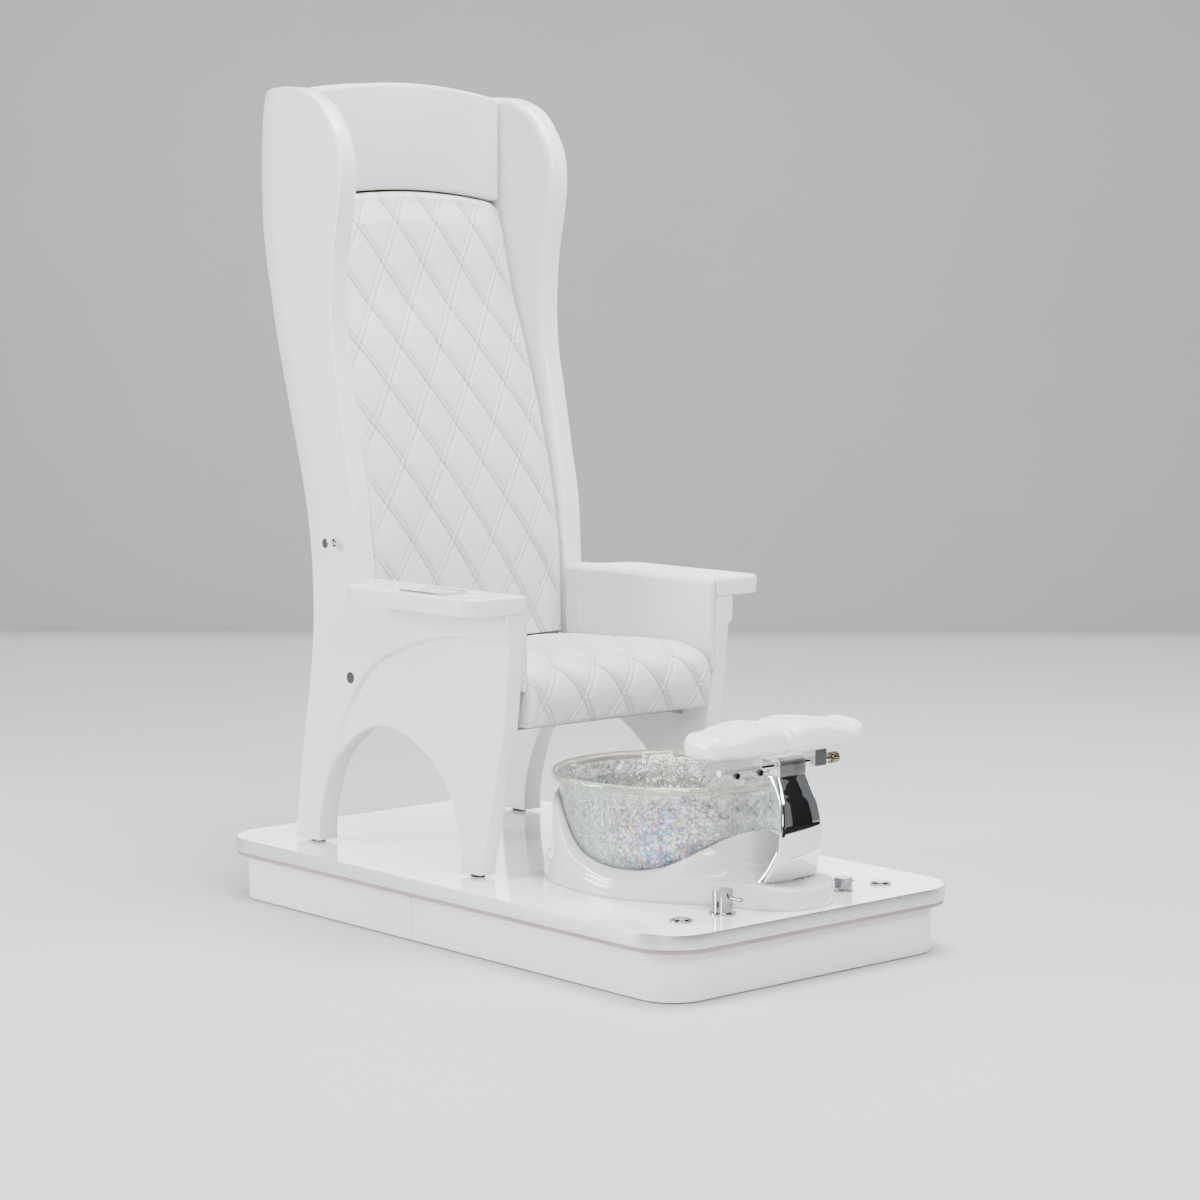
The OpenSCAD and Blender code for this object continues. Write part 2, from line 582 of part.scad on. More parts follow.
module foot_glides() {
    color("gray") each_glide() difference() {
        rod_z(deck_z, deck_z + glide_h - gap, 0, 0, glide_r);
        rod_z(deck_z - 1, deck_z + glide_h + 1, 0, 0, bolt_r + gap);
    }
}
module foot_bolts() {
    color("silver") each_glide() {
        rod_z(board_z - 5, deck_z + glide_h + 30, 0, 0, bolt_r);
        rod_z(board_z - 6, board_z - gap, 0, 0, 8);
    }
}

// ---- foot bath -----------------------------------------------------------
// outside of the glass: [radius, height above the deck]
bowl_out = [[34, 16], [106, 16], [122, 18], [152, 27], [183, 50], [196, 70], [205, 94], [215, 132],
    [220, 161], [223, rim_h - 15], [rim_r, rim_h]];
function bowl_r(h) = lookup(h,
    [for (i = [1:len(bowl_out) - 1]) [bowl_out[i][1] + i * 0.001, bowl_out[i][0]]]);
drain_r = 26;
jet_r = 22;
motor_r = 24;
shaft_r = 3;
jet_spot = [0, bowl_y + 76];
module basin_bowl() {
    prof = curve(bowl_out, 3);
    m = len(prof) - 1;
    inside = [for (i = [0:m]) let (d = prof[min(m, i + 1)] - prof[max(0, i - 1)])
        prof[i] + [-d[1], d[0]] / norm(d) * glass_t * (i < m - 3 ? 1 : 0.75)];
    color([0.75, 0.85, 0.88, 0.5]) difference() {
        translate([0, bowl_y, deck_z]) rotate_extrude($fn = 96) {
            polygon(concat(prof, [for (i = [m:-1:0]) inside[i]]));
            translate([rim_r, rim_h]) circle(rim_tube_r, $fn = 24);
        }
        rod_z(deck_z, deck_z + 40, 0, bowl_y, drain_r);
        rod_z(deck_z, deck_z + 40, jet_spot[0], jet_spot[1], jet_r);
    }
}
// the surround against the angle round the bowl, alike left and right, -90 in front:
// height of its outer lip, height where it meets the glass, radius of its foot
pod_lip = [[-90, 60], [-77, 73], [-72, 94], [-65, 101], [-60, 98], [-45, 69], [-31, 41], [-22, 37], [-8, 38],
    [3, 49], [16, 66], [24, 100], [32, 150], [44, 166], [90, 170]];
pod_inner = [[-90, 124], [-80, 121], [-68, 108], [-59, 91], [-44, 66], [-33, 55], [-22, 49], [-4, 51],
    [4, 58], [15, 70], [24, 102], [32, 150], [44, 166], [90, 170]];
pod_foot = [[-90, 370], [-84, 367], [-79, 355], [-74, 330], [-68.6, 288], [-60, 262], [-48.6, 238],
    [-35, 228], [-20, 224], [-7, 221], [8, 223], [24, 232], [45, 249], [60, 260], [90, 258]];
function fold(a) = a > 90 ? 180 - a : (a < -90 ? -180 - a : a);
pod_half = concat([for (a = [-90:2.5:-55]) a], [for (a = [-50:5:15]) a], [for (a = [18:3:36]) a],
    [for (a = [40:5:90]) a]);
pod_angles = concat(pod_half, [for (i = [len(pod_half) - 2:-1:1]) 180 - pod_half[i]]);
function bowl_side(h) = bowl_r(h) + seat_gap + 1.8;
function pod_section(a) = let (f = lookup(a, pod_foot), h = lookup(a, pod_lip), hi = lookup(a, pod_inner),
    lip = min(f - 6, rim_r + 1), w = f - lip, zc = min(ledge_h, h * 0.6))
    concat([[sump_r, gap], [f, gap], [f, zc * 0.5], [f - min(2, w * 0.2), zc - 2], [f - min(8, w * 0.45), zc],
        [lip + w * 0.35, zc + 0.04 * (h - zc)], [lip + min(10, w * 0.25), zc + 0.4 * (h - zc)],
        [lip + min(3, w * 0.08), h - 3], [lip - 3, h]],
        [for (t = [1, 0.86, 0.72, 0.59, 0.46, 0.34, 0.22, 0.12])
            let (z = 28 + (hi - 28) * t) [bowl_side(z), z]],
        [[bowl_side(27), 26], [134, 18.4], [119, 15.2], [sump_r + 10.5, 13], [sump_r, 13]]);
module basin_pod() {
    sections = [for (a = pod_angles) pod_section(fold(a))];
    rings = [for (k = [0:len(sections[0]) - 1]) [for (i = [0:len(pod_angles) - 1])
        [sections[i][k][0] * cos(pod_angles[i]), bowl_y + sections[i][k][0] * sin(pod_angles[i]),
            deck_z + sections[i][k][1]]]];
    color("white") difference() {
        torus_loft(rings);
        for (s = [-1, 1]) rod_z(deck_z - 1, deck_z + ledge_h + 1, s * column_bolt_x, column_y, bolt_r + gap);
    }
}
// closed tube-like surface: rings joined end to end, last ring back to the first
module torus_loft(rings) {
    n = len(rings[0]);
    m = len(rings);
    polyhedron([for (r = rings) each r], [for (j = [0:m - 1], i = [0:n - 1]) let (a = j * n + i,
        b = j * n + (i + 1) % n, c = ((j + 1) % m) * n + i, d = ((j + 1) % m) * n + (i + 1) % n)
        each [[a, d, b], [a, c, d]]], convexity = 8);
}
module bowl_gasket() {
    color("gray") translate([0, bowl_y, deck_z + 13 + gap / 2]) difference() {
        cylinder(h = 2.6, r = sump_r + 9);
        translate([0, 0, -1]) cylinder(h = 6, r = sump_r + 1);
    }
}
module drain_flange() {
    color("silver") translate([0, bowl_y, deck_z]) difference() {
        union() {
            rod_z(16 + glass_t + gap, 16 + glass_t + 3, 0, 0, drain_r + 9);
            rod_z(-20, 16 + glass_t + 1, 0, 0, drain_r - gap);
        }
        rod_z(-30, 50, 0, 0, drain_r - 4);
    }
}
stopper_r = drain_r - 4;
module drain_stopper() {
    z = deck_z + 16 + glass_t + 3;
    color("silver") translate([0, bowl_y, 0]) {
        rod_z(z + gap, z + 4, 0, 0, stopper_r + 5);
        rod_z(z - 14, z + gap + eps, 0, 0, 4);
        for (a = [0, 60, 120]) rotate(a) translate([-stopper_r + run * 4, -1.2, z - 14])
            cube([2 * stopper_r - run * 8, 2.4, 8]);
    }
}
pump_z = 44;
module drain_pump() {
    color("black") {
        rod_z(pump_z, pump_z + 34, 0, bowl_y, 44);
        rod_y(bowl_y + 40, bowl_y + 130, 0, pump_z + 17, 26);
    }
}
module drain_pipe() {
    color("gray") {
        difference() {
            rod_z(pump_z + 34 + gap, deck_z - 20 - gap, 0, bowl_y, drain_r);
            rod_z(pump_z, deck_z, 0, bowl_y, drain_r - 4);
        }
        difference() {
            rod_y(bowl_y + 132, frame_y - 40, 0, pump_z - 18, 14);
            rod_y(bowl_y + 120, frame_y, 0, pump_z - 18, 11);
        }
        rod_z(pump_z - 18, pump_z + 22, 0, bowl_y + 144 + 2 * gap, 14 - eps);
    }
}
module jet_motor() {
    color("black") translate([jet_spot[0], jet_spot[1], 0]) {
        rod_z(deck_z - 26, deck_z + 8, 0, 0, motor_r);
        rod_z(deck_z + 8 - eps, deck_z + 16 + glass_t, 0, 0, jet_r - gap);
        rod_z(deck_z + 16 + glass_t - eps, deck_z + 24 + glass_t, 0, 0, shaft_r);
    }
}
module jet_cover() {
    z = deck_z + 16 + glass_t + gap;
    color("white") translate([jet_spot[0], jet_spot[1], 0]) difference() {
        rod_z(z, z + 16, 0, 0, jet_r + 7);
        rod_z(z - 1, z + 13, 0, 0, jet_r + 4);
        for (a = [0:45:315]) rotate(a) translate([12, -2, z]) cube([9, 4, 20]);
        rod_z(z, z + 20, 0, 0, 4);
    }
}
module jet_impeller() {
    z = deck_z + 16 + glass_t + gap;
    color("gray") translate([jet_spot[0], jet_spot[1], 0]) difference() {
        union() {
            rod_z(z, z + 11, 0, 0, 7);
            rod_z(z, z + 2, 0, 0, jet_r - 2);
            for (a = [0:60:300]) rotate(a) translate([5, -1, z + 1]) cube([jet_r - 8, 2, 8]);
        }
        rod_z(z - 1, z + 8, 0, 0, shaft_r + run);
    }
}

// ---- footrest ------------------------------------------------------------
// the column: [height above the deck, front face's distance from the bowl's axis, thickness, half width]
column_line = [[ledge_h + gap, 308, 22, 70], [72, 321, 16, 62], [106, 333, 14, 54], [146, 338, 14, 50],
    [186, 331, 16, 45], [215, 319, 22, 41], [axle_h - 19, 310, 33, 39]];
module footrest_column() {
    steps = curve(column_line, 3);
    r = 6;
    color("silver") difference() {
        loft([for (s = steps) let (w = s[3], y0 = bowl_y - s[1], y1 = y0 + s[2], q = min(r, s[2] / 2 - 0.5))
            [for (c = [[w - q, y0 + q, -90], [w - q, y1 - q, 0], [-w + q, y1 - q, 90], [-w + q, y0 + q, 180]],
                k = [0:3]) [c[0] + q * cos(c[2] + k * 30), c[1] + q * sin(c[2] + k * 30), deck_z + s[0]]]]);
        for (s = [-1, 1]) rod_z(deck_z, deck_z + ledge_h + 16, s * column_bolt_x, column_y, bolt_r + gap);
    }
}
module column_bolts() {
    color("silver") for (s = [-1, 1]) {
        rod_z(board_z - 6, deck_z + ledge_h + 12, s * column_bolt_x, column_y, bolt_r);
        rod_z(board_z - 6, board_z - gap, s * column_bolt_x, column_y, 8);
    }
}
axle_y = bowl_y - 295;
neck_half = 33;
neck_r = 13;
module footrest_neck() {
    z = deck_z + axle_h;
    color("silver") difference() {
        union() {
            translate([-neck_half, axle_y - neck_r, z - 19 + gap])
                cube([2 * neck_half, 2 * neck_r, 19 - gap]);
            rod_x(-neck_half, neck_half, axle_y, z, neck_r);
        }
        rod_x(-neck_half - 1, neck_half + 1, axle_y, z, axle_r + run);
    }
}
knob_x = 108;
module footrest_axle() {
    color("silver") {
        rod_x(-pad_half + 32, knob_x + 8, axle_y, deck_z + axle_h, axle_r);
    }
}
pad_low = axle_h + 21;
housing = [-172, -80];
module clamp_housing() {
    color("gainsboro") difference() {
        translate([housing[0], axle_y - 15, deck_z + axle_h - 11])
            cube([housing[1] - housing[0], 40, pad_low - axle_h + 11 - gap]);
        rod_x(housing[0] - 1, housing[1] + 1, axle_y, deck_z + axle_h, axle_r + run);
        for (x = screw_x) rod_y(axle_y - 20, axle_y - 7.4, x, screw_z, 2 + run);
    }
}
screw_x = [-150, -92];
screw_z = deck_z + axle_h - 4;
module thumb_screw(x) {
    y = axle_y - 15 - gap;
    color("black") {
        rod_y(y - 3, y + 7, x, screw_z, 2);
        difference() {
            rod_y(y - 10, y - 3 + eps, x, screw_z, 6);
            for (a = [0:45:315]) translate([x, 0, screw_z]) rotate([0, a, 0])
                rod_y(y - 11, y - 2, 7, 0, 1.6);
        }
    }
}
module thumb_screw_outer() { thumb_screw(screw_x[0]); }
module thumb_screw_inner() { thumb_screw(screw_x[1]); }
module pad_bracket() {
    color("silver") difference() {
        translate([58, axle_y - 12, deck_z + axle_h - 10]) cube([30, 34, pad_low - axle_h + 10 - gap]);
        rod_x(50, 100, axle_y, deck_z + axle_h, axle_r + run);
    }
}
module axle_knob() {
    z = deck_z + axle_h;
    color("goldenrod") difference() {
        union() {
            rod_x(knob_x, knob_x + 16, axle_y, z, 11);
            rod_x(knob_x - 6, knob_x + eps, axle_y, z, 8);
        }
        rod_x(knob_x - 7, knob_x + 8 + gap, axle_y, z, axle_r + run);
        for (a = [0:30:330]) translate([0, axle_y, z]) rotate([a, 0, 0])
            rod_x(knob_x - 1, knob_x + 17, 12, 0, 1.8);
    }
}
// rise of the pad's top: two humps, a middle groove and flat ends
pad_rise = [[0, 0], [12, 1], [30, 9], [62, 12], [95, 9], [125, 2], [150, 1], [178, 3], [205, 0]];
module footrest_pad() {
    xs = [for (i = [-20:20]) pad_half * (i / 20 * 0.8 + 0.2 * pow(i / 20, 3) * (abs(i) == 20 ? 1 : 1))];
    m = 12;
    y_mid = axle_y - 13 + pad_d / 2;
    function half_depth(x) = let (t = abs(x) / pad_half)
        pad_d / 2 * sqrt(max(0.02, 1 - pow(clamp((t - 0.78) / 0.22, 0, 1), 2.4) * 0.75));
    front = [for (j = [0:m]) [for (x = xs) let (t = -cos(180 * j / m), hd = half_depth(x),
        ex = pad_half - abs(x), ey = hd * (1 - abs(t)))
        [x, y_mid + hd * t, deck_z + pad_low + pad_t + (lookup(abs(x) * 205 / pad_half, pad_rise)
            + 8 * (1 - t * t)) - edge_drop(min(ex, ey) + 1, 14, 14)]]];
    back = [for (j = [0:m]) [for (i = [0:len(xs) - 1]) let (p = front[j][i]) [p[0], p[1], deck_z + pad_low]]];
    color("white") pad_form(front, back);
}

// ---- controls ------------------------------------------------------------
valve_r = valve_d / 2;
cap_z = deck_z + 18;
module mixer_valve() {
    color("silver") translate([-valve_x, -control_y, 0]) {
        rod_z(deck_z, deck_z + 3, 0, 0, valve_r + 6);
        rod_z(deck_z, cap_z, 0, 0, valve_r);
        rod_z(cap_z - eps, cap_z + 10, 0, 0, valve_r - 8);
        rod_z(board_z - 30, deck_z + eps, 0, 0, valve_r - 7);
    }
}
module mixer_lever() {
    color("silver") translate([-valve_x, -control_y, 0]) {
        difference() {
            rod_z(cap_z + gap, deck_z + 44, 0, 0, valve_r);
            rod_z(cap_z - 1, cap_z + 10 + gap, 0, 0, valve_r - 8 + run);
        }
        rod_y(-valve_r - 26, -valve_r + 4, 0, deck_z + 31, 3.2);
        rod_y(-valve_r - 30, -valve_r - 26 + eps, 0, deck_z + 31, 4.2);
    }
}
module diverter_valve() {
    color("silver") translate([valve_x, -control_y, 0]) {
        rod_z(deck_z, deck_z + 3, 0, 0, valve_r);
        rod_z(deck_z + 3 - eps, deck_z + 16, 0, 0, valve_r - 10);
        rod_z(board_z - 30, deck_z + eps, 0, 0, valve_r - 7);
    }
}
module diverter_handle() {
    color("silver") translate([valve_x, -control_y, 0]) {
        difference() {
            rod_z(deck_z + 5, deck_z + 26, 0, 0, valve_r - 2);
            rod_z(deck_z + 4, deck_z + 16 + gap, 0, 0, valve_r - 10 + run);
        }
        for (a = [45:90:315]) rotate(a) {
            rod_y(valve_r - 4, valve_r + 3, 0, deck_z + 20, 2.4);
        }
    }
}
button_r = button_d / 2;
module button_housings() {
    color("silver") for (s = [-1, 1]) translate([s * button_x, -control_y, 0]) difference() {
        union() {
            rod_z(deck_z, deck_z + 3, 0, 0, button_r);
            rod_z(board_z - 24, deck_z + eps, 0, 0, button_r - 7);
        }
        rod_z(board_z - 20, deck_z + 4, 0, 0, button_r - 9);
        rod_z(deck_z + 1.2, deck_z + 4, 0, 0, button_r - 5);
    }
}
module push_button(x) {
    color("silver") translate([x, -control_y, 0]) {
        rod_z(deck_z + 1.2 + button_travel + gap, deck_z + 5 + gap, 0, 0, button_r - 5 - gap);
        rod_z(board_z - 12, deck_z + 1.2 + button_travel + gap + eps, 0, 0, button_r - 9 - gap);
    }
}
module jet_button() { push_button(-button_x); }
module drain_button() { push_button(button_x); }
module supply_pipes() {
    r = 7;
    z = board_z - tube_h - r - 3;
    end_y = frame_y - 60;
    color("orangered") for (s = [-1, 1]) {
        x = s * (valve_x + 6);
        rod_z(z, board_z - 30 - gap, x, -control_y, r);
        translate([x, -control_y, z]) sphere(r + eps);
        rod_y(-control_y, end_y, x, z, r);
        rod_y(end_y - eps, end_y + 24, x, z, r + 2);
    }
}
module control_box() {
    z = board_z - tube_h;
    x0 = -frame_x + tube_w + 16;
    x1 = -valve_x - 35;
    color("dimgray") difference() {
        translate([x0, 90 + tube_w + gap, z - 20]) cube([x1 - x0, 160, tube_h + 20 - gap]);
        rod_y(250, 320, (x0 + x1) / 2, z + 6, 9);
    }
}

base_frame();
leveling_feet();
skirt_brackets();
plinth_front();
plinth_rear();
reveal_strip();
deck_panel();
edge_band();
side_shell_left();
side_shell_right();
back_shell();
back_battens();
back_board();
back_cushion();
headrest_pad();
seat_frame();
seat_board();
seat_cushion();
arm_shelf_left();
arm_shelf_right();
arm_pad_left();
arm_pad_right();
hatch_rim();
hatch_lid();
hatch_hinge_pin();
outlet_module();
purse_hook();
bolt_caps();
shell_bolts();
foot_glides();
foot_bolts();
basin_pod();
bowl_gasket();
basin_bowl();
drain_flange();
drain_stopper();
drain_pump();
drain_pipe();
jet_motor();
jet_cover();
jet_impeller();
footrest_column();
column_bolts();
footrest_neck();
footrest_axle();
clamp_housing();
pad_bracket();
footrest_pad();
axle_knob();
thumb_screw_outer();
thumb_screw_inner();
mixer_valve();
mixer_lever();
diverter_valve();
diverter_handle();
button_housings();
jet_button();
drain_button();
supply_pipes();
control_box();
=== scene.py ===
import json
import math
import bmesh
import bpy
import numpy as np
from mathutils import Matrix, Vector
from mathutils.geometry import delaunay_2d_cdt


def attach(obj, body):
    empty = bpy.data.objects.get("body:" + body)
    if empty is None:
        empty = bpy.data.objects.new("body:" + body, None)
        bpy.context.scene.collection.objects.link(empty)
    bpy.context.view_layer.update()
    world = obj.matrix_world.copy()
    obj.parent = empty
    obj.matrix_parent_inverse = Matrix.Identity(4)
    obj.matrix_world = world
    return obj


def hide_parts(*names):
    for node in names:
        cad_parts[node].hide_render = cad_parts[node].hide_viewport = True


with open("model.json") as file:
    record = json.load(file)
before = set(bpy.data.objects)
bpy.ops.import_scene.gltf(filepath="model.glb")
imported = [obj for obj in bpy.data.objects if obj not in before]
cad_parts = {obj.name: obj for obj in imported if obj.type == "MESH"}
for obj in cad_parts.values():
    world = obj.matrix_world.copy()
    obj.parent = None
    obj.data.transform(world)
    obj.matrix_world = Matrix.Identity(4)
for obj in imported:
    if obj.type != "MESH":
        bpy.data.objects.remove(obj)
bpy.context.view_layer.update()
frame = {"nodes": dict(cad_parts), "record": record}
slotOf = {s["node"]: s["material_slot"] for s in frame["record"]["subparts"]}
bodyOf = {n: body for body, nodes in frame["record"]["behaviour"]["bodies"].items() for n in nodes}
deckZ = 127.0   # top of the deck above the floor; shapes are worked out in mm, with heights from the deck


# curves and outlines

def catmull(points, n):
    # smooth curve through the points, n steps on each stretch: a cubic, slopes from the two neighbours
    p = np.asarray(points, float)
    q = np.vstack([p[:1], p, p[-1:]])
    t = (np.arange(n) / n)[None, :, None]
    a, b, c, d = (q[i:len(q) - 3 + i][:, None, :] for i in range(4))
    r = .5 * (2 * b + (c - a) * t + (2 * a - 5 * b + 4 * c - d) * t ** 2 + (3 * b - a - 3 * c + d) * t ** 3)
    return np.vstack([r.reshape(-1, p.shape[1]), p[-1:]])


def smoothTable(table, x):
    # value of a table of [key, value] rows at x, on the smooth curve through them
    c = catmull(table, 12)
    return np.interp(x, c[:, 0], c[:, 1])


def ease(t):
    # 0 to 1 with flat ends: 3t^2 - 2t^3
    t = np.clip(t, 0, 1)
    return t * t * (3 - 2 * t)


def bunched(n, share):
    # n numbers from 0 to 1: even ones mixed with a share of a half cosine, so the ends are closer
    return (1 - share) * np.linspace(0, 1, n) + share * (.5 - .5 * np.cos(np.linspace(0, math.pi, n)))


def lengths(line):
    # way walked along the line at each of its points
    return np.r_[0, np.cumsum(np.linalg.norm(np.diff(line, axis=0), axis=1))]


def evenly(line, step, closed=False):
    # points at equal distances along a line
    p = np.vstack([line, line[:1]]) if closed else np.asarray(line)
    s = lengths(p)
    t = np.linspace(0, s[-1], max(3, int(round(s[-1] / step)) + 1))
    out = np.stack([np.interp(t, s, p[:, k]) for k in range(p.shape[1])], 1)
    return out[:-1] if closed else out


def normalsOf(line):
    # unit normals on the left of an open line: its slope turned by a quarter
    d = np.gradient(line, axis=0)
    n = np.stack([-d[:, 1], d[:, 0]], 1)
    return n / np.linalg.norm(n, axis=1, keepdims=True)


def anticlockwise(line):
    # the closed line, turned round if the area it encloses counts as negative
    x, y = line[:, 0], line[:, 1]
    return line if np.sum(x * np.roll(y, -1) - np.roll(x, -1) * y) > 0 else line[::-1]


def outlineOf(line, corner=2.5, coarse=7.0, fine=1.3):
    # closed outline with its corners eased by a bell-shaped running average, corner mm wide. Its points
    # lie coarse mm apart, and closer where it bends, so that each step turns by no more than turn
    step, reach, span, turn = .6, 24, 3.6, .12
    p = evenly(anticlockwise(np.asarray(line, float)), step, True)
    shift = np.arange(-reach, reach + 1)
    weight = np.exp(-.5 * (shift * step / corner) ** 2)
    weight /= weight.sum()
    q = sum(w * np.roll(p, -k, 0) for w, k in zip(weight, shift))
    d = np.roll(q, -2, 0) - np.roll(q, 2, 0)
    a = np.unwrap(np.arctan2(d[:, 1], d[:, 0]))
    bend = np.abs(np.roll(a, -3) - np.roll(a, 3))
    bend = np.minimum(bend, 2 * math.pi - bend) / span
    bend = np.convolve(np.r_[bend[-8:], bend, bend[:8]], np.ones(17) / 17, "same")[8:-8]
    s = np.r_[0, np.cumsum(step / np.clip(turn / np.maximum(bend, 1e-4), fine, coarse))]
    n = int(round(s[-1]))
    t = np.arange(n) * s[-1] / n
    q = np.vstack([q, q[:1]])
    return np.stack([np.interp(t, s, q[:, k]) for k in range(2)], 1)


def outward(line):
    # unit normals of an anticlockwise closed outline
    d = np.roll(line, -1, 0) - np.roll(line, 1, 0)
    n = np.stack([d[:, 1], -d[:, 0]], 1)
    return n / np.linalg.norm(n, axis=1, keepdims=True)


def inside(points, loop):
    # which points lie in the closed loop: an odd number of its sides is crossed on the way out
    out = np.zeros(len(points), bool)
    a, b = loop, np.roll(loop, -1, 0)
    run, climb = (b - a).T
    climb = climb + (np.abs(climb) < 1e-9) * 1e-9
    for c in range(0, len(points), 4000):
        p = points[c:c + 4000, None, :]
        cross = (a[None, :, 1] > p[..., 1]) != (b[None, :, 1] > p[..., 1])
        x = a[None, :, 0] + (p[..., 1] - a[None, :, 1]) * run / climb
        out[c:c + 4000] = (np.sum(cross & (x > p[..., 0]), 1) % 2) == 1
    return out


def distance(points, line):
    # distance of each point from a line of short stretches
    out = np.empty(len(points))
    a, d = line[:-1], np.diff(line, axis=0)
    dd = np.maximum(np.sum(d * d, 1), 1e-12)
    for c in range(0, len(points), 3000):
        p = points[c:c + 3000, None, :] - a[None]
        t = np.clip(np.sum(p * d[None], -1) / dd, 0, 1)
        out[c:c + 3000] = np.sqrt(np.min(np.sum((p - t[..., None] * d[None]) ** 2, -1), 1))
    return out


# meshes and pieces

def linked(name, data):
    # a new object, put in the scene
    o = bpy.data.objects.new(name, data)
    bpy.context.scene.collection.objects.link(o)
    return o


def makeMesh(name, verts, faces):
    # smooth mesh object from points in mm and a list of index arrays, its faces turned outwards
    me = bpy.data.meshes.new(name)
    polygons = [f for block in faces for f in np.asarray(block).tolist()]
    me.from_pydata((np.asarray(verts, float) * .001).tolist(), [], polygons)
    me.polygons.foreach_set("use_smooth", np.ones(len(me.polygons), bool))
    me.validate()
    me.update()
    bm = bmesh.new()
    bm.from_mesh(me)
    bmesh.ops.recalc_face_normals(bm, faces=bm.faces)
    bm.to_mesh(me)
    bm.free()
    return linked(name, me)


def gridFaces(rows, cols, start=0, closeRows=False, closeCols=False, flip=False):
    # four-sided faces of a grid of rows x cols points, numbered from start
    j = np.arange(rows if closeRows else rows - 1)[:, None]
    i = np.arange(cols if closeCols else cols - 1)[None]
    j1, i1 = (j + 1) % rows, (i + 1) % cols
    corners = j * cols + i, j * cols + i1, j1 * cols + i1, j1 * cols + i
    q = np.stack(np.broadcast_arrays(*corners), -1).reshape(-1, 4)
    return (q[:, ::-1] if flip else q) + start


def pairFaces(rows, cols):
    # a closed body of two grids: the first, the second numbered after it, and strips that join their rims
    m, last = rows * cols, (rows - 1) * cols
    i, j = np.arange(cols - 1), np.arange(rows - 1)
    faces = [gridFaces(rows, cols), gridFaces(rows, cols, m, flip=True)]
    for a, b in ((i, i + 1), (last + i + 1, last + i), ((j + 1) * cols, j * cols),
                 (j * cols + cols - 1, (j + 1) * cols + cols - 1)):
        faces.append(np.stack([a + m, b + m, b, a], -1))
    return faces


def fillLoop(loop, extra=None, holes=()):
    # triangles over a closed loop, clear of its holes and through the extra points. Their indices follow
    # the loop, the holes and the extra points
    loops = [loop, *holes]
    pts = np.vstack(loops if extra is None else loops + [extra])
    edges, start = [], 0
    for one in loops:
        i = np.arange(len(one))
        edges.append(np.stack([i, (i + 1) % len(one)], 1) + start)
        start += len(one)
    corners, sides = [Vector(p) for p in pts], np.vstack(edges).tolist()
    triangles, origin = delaunay_2d_cdt(corners, sides, [], 0, 1e-5, True)[2:4]
    back = np.array([o[0] if o else -1 for o in origin])
    f = back[np.array(triangles)]
    f = f[(f >= 0).all(1)]
    mid = pts[f].mean(1)
    keep = inside(mid, loop)
    for hole in holes:
        keep &= ~inside(mid, hole)
    return f[keep]


def slab(name, outline, low, high, radius, place, holes=(), extra=None, radiusLow=None):
    # a thick plate: an outline in (u, v) between w = low and w = high, which may be a function of (u, v).
    # Both rims are quarter circles, whose radius may change along the outline. A hole is an anticlockwise
    # loop, a depth and its rim's radius. place turns (u, v, w) into x, y, z
    n, out = len(outline), outward(outline)
    radius = np.broadcast_to(np.asarray(radius, float), (n,))
    radiusLow = radius if radiusLow is None else np.broadcast_to(np.asarray(radiusLow, float), (n,))
    steps = np.linspace(0, math.pi / 2, 6)

    def level(p, face):
        return face(p) if callable(face) else np.full(len(p), float(face))

    def ring(r, a, face, sign):
        # a row of the rim: a is 0 where the side ends, and a quarter turn where the face begins
        p = outline - out * (r * (1 - math.cos(a)))[:, None]
        height = level(p if a else outline - out * .01, face)
        return np.column_stack([p, height - sign * r * (1 - math.sin(a))])
    flatLow, flatTop = (outline - out * (r * 1.25 + .3)[:, None] for r in (radiusLow, radius))
    rings = [np.column_stack([flatLow, level(flatLow, low)])]
    rings += [ring(radiusLow, a, low, -1) for a in steps[::-1]]
    rings += [ring(radius, a, high, 1) for a in steps]
    rings.append(np.column_stack([flatTop, level(flatTop, high)]))
    loops = [loop for loop, depth, r in holes]
    inner = np.vstack([np.zeros((0, 2)), *loops, *([] if extra is None else [extra])])
    start = len(rings) * n
    index = np.r_[np.arange(start - n, start), start + np.arange(len(inner))]
    verts = np.vstack([*rings, np.column_stack([inner, level(inner, high)])])
    faces = [gridFaces(len(rings), n, closeCols=True), index[fillLoop(flatTop, extra, loops)],
             fillLoop(flatLow)[:, ::-1]]
    for loop, depth, r in holes:
        # the rim rolls into the hole, the wall goes straight down, and a small fillet meets the floor
        m, into, w = len(loop), -outward(loop), level(loop, high)
        rows = [(r * math.sin(a), r * (math.cos(a) - 1)) for a in np.linspace(0, math.pi / 2, 4)[1:]]
        rows += [(r, 2 - depth), (r + .6, .6 - depth), (r + 2, -depth)]
        block = np.vstack([np.column_stack([loop + into * d, w + h]) for d, h in rows])
        seq = np.vstack([np.arange(start, start + m), len(verts) + np.arange(len(block)).reshape(-1, m)])
        onward = np.roll(seq, -1, 1)
        faces.append(np.stack([seq[:-1], onward[:-1], onward[1:], seq[1:]], -1).reshape(-1, 4))
        faces.append(seq[-1][fillLoop(block[-m:, :2])])
        verts = np.vstack([verts, block])
        start += m
    return makeMesh(name, place(verts), faces)


def dress(piece, node):
    # gives the piece the finish of a node
    piece.data.materials.clear()
    piece.data.materials.append(finishes[lookOf[node]])


def standFor(piece, node):
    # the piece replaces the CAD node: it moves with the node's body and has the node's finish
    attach(piece, bodyOf[node])
    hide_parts(node)
    dress(piece, node)
    return piece


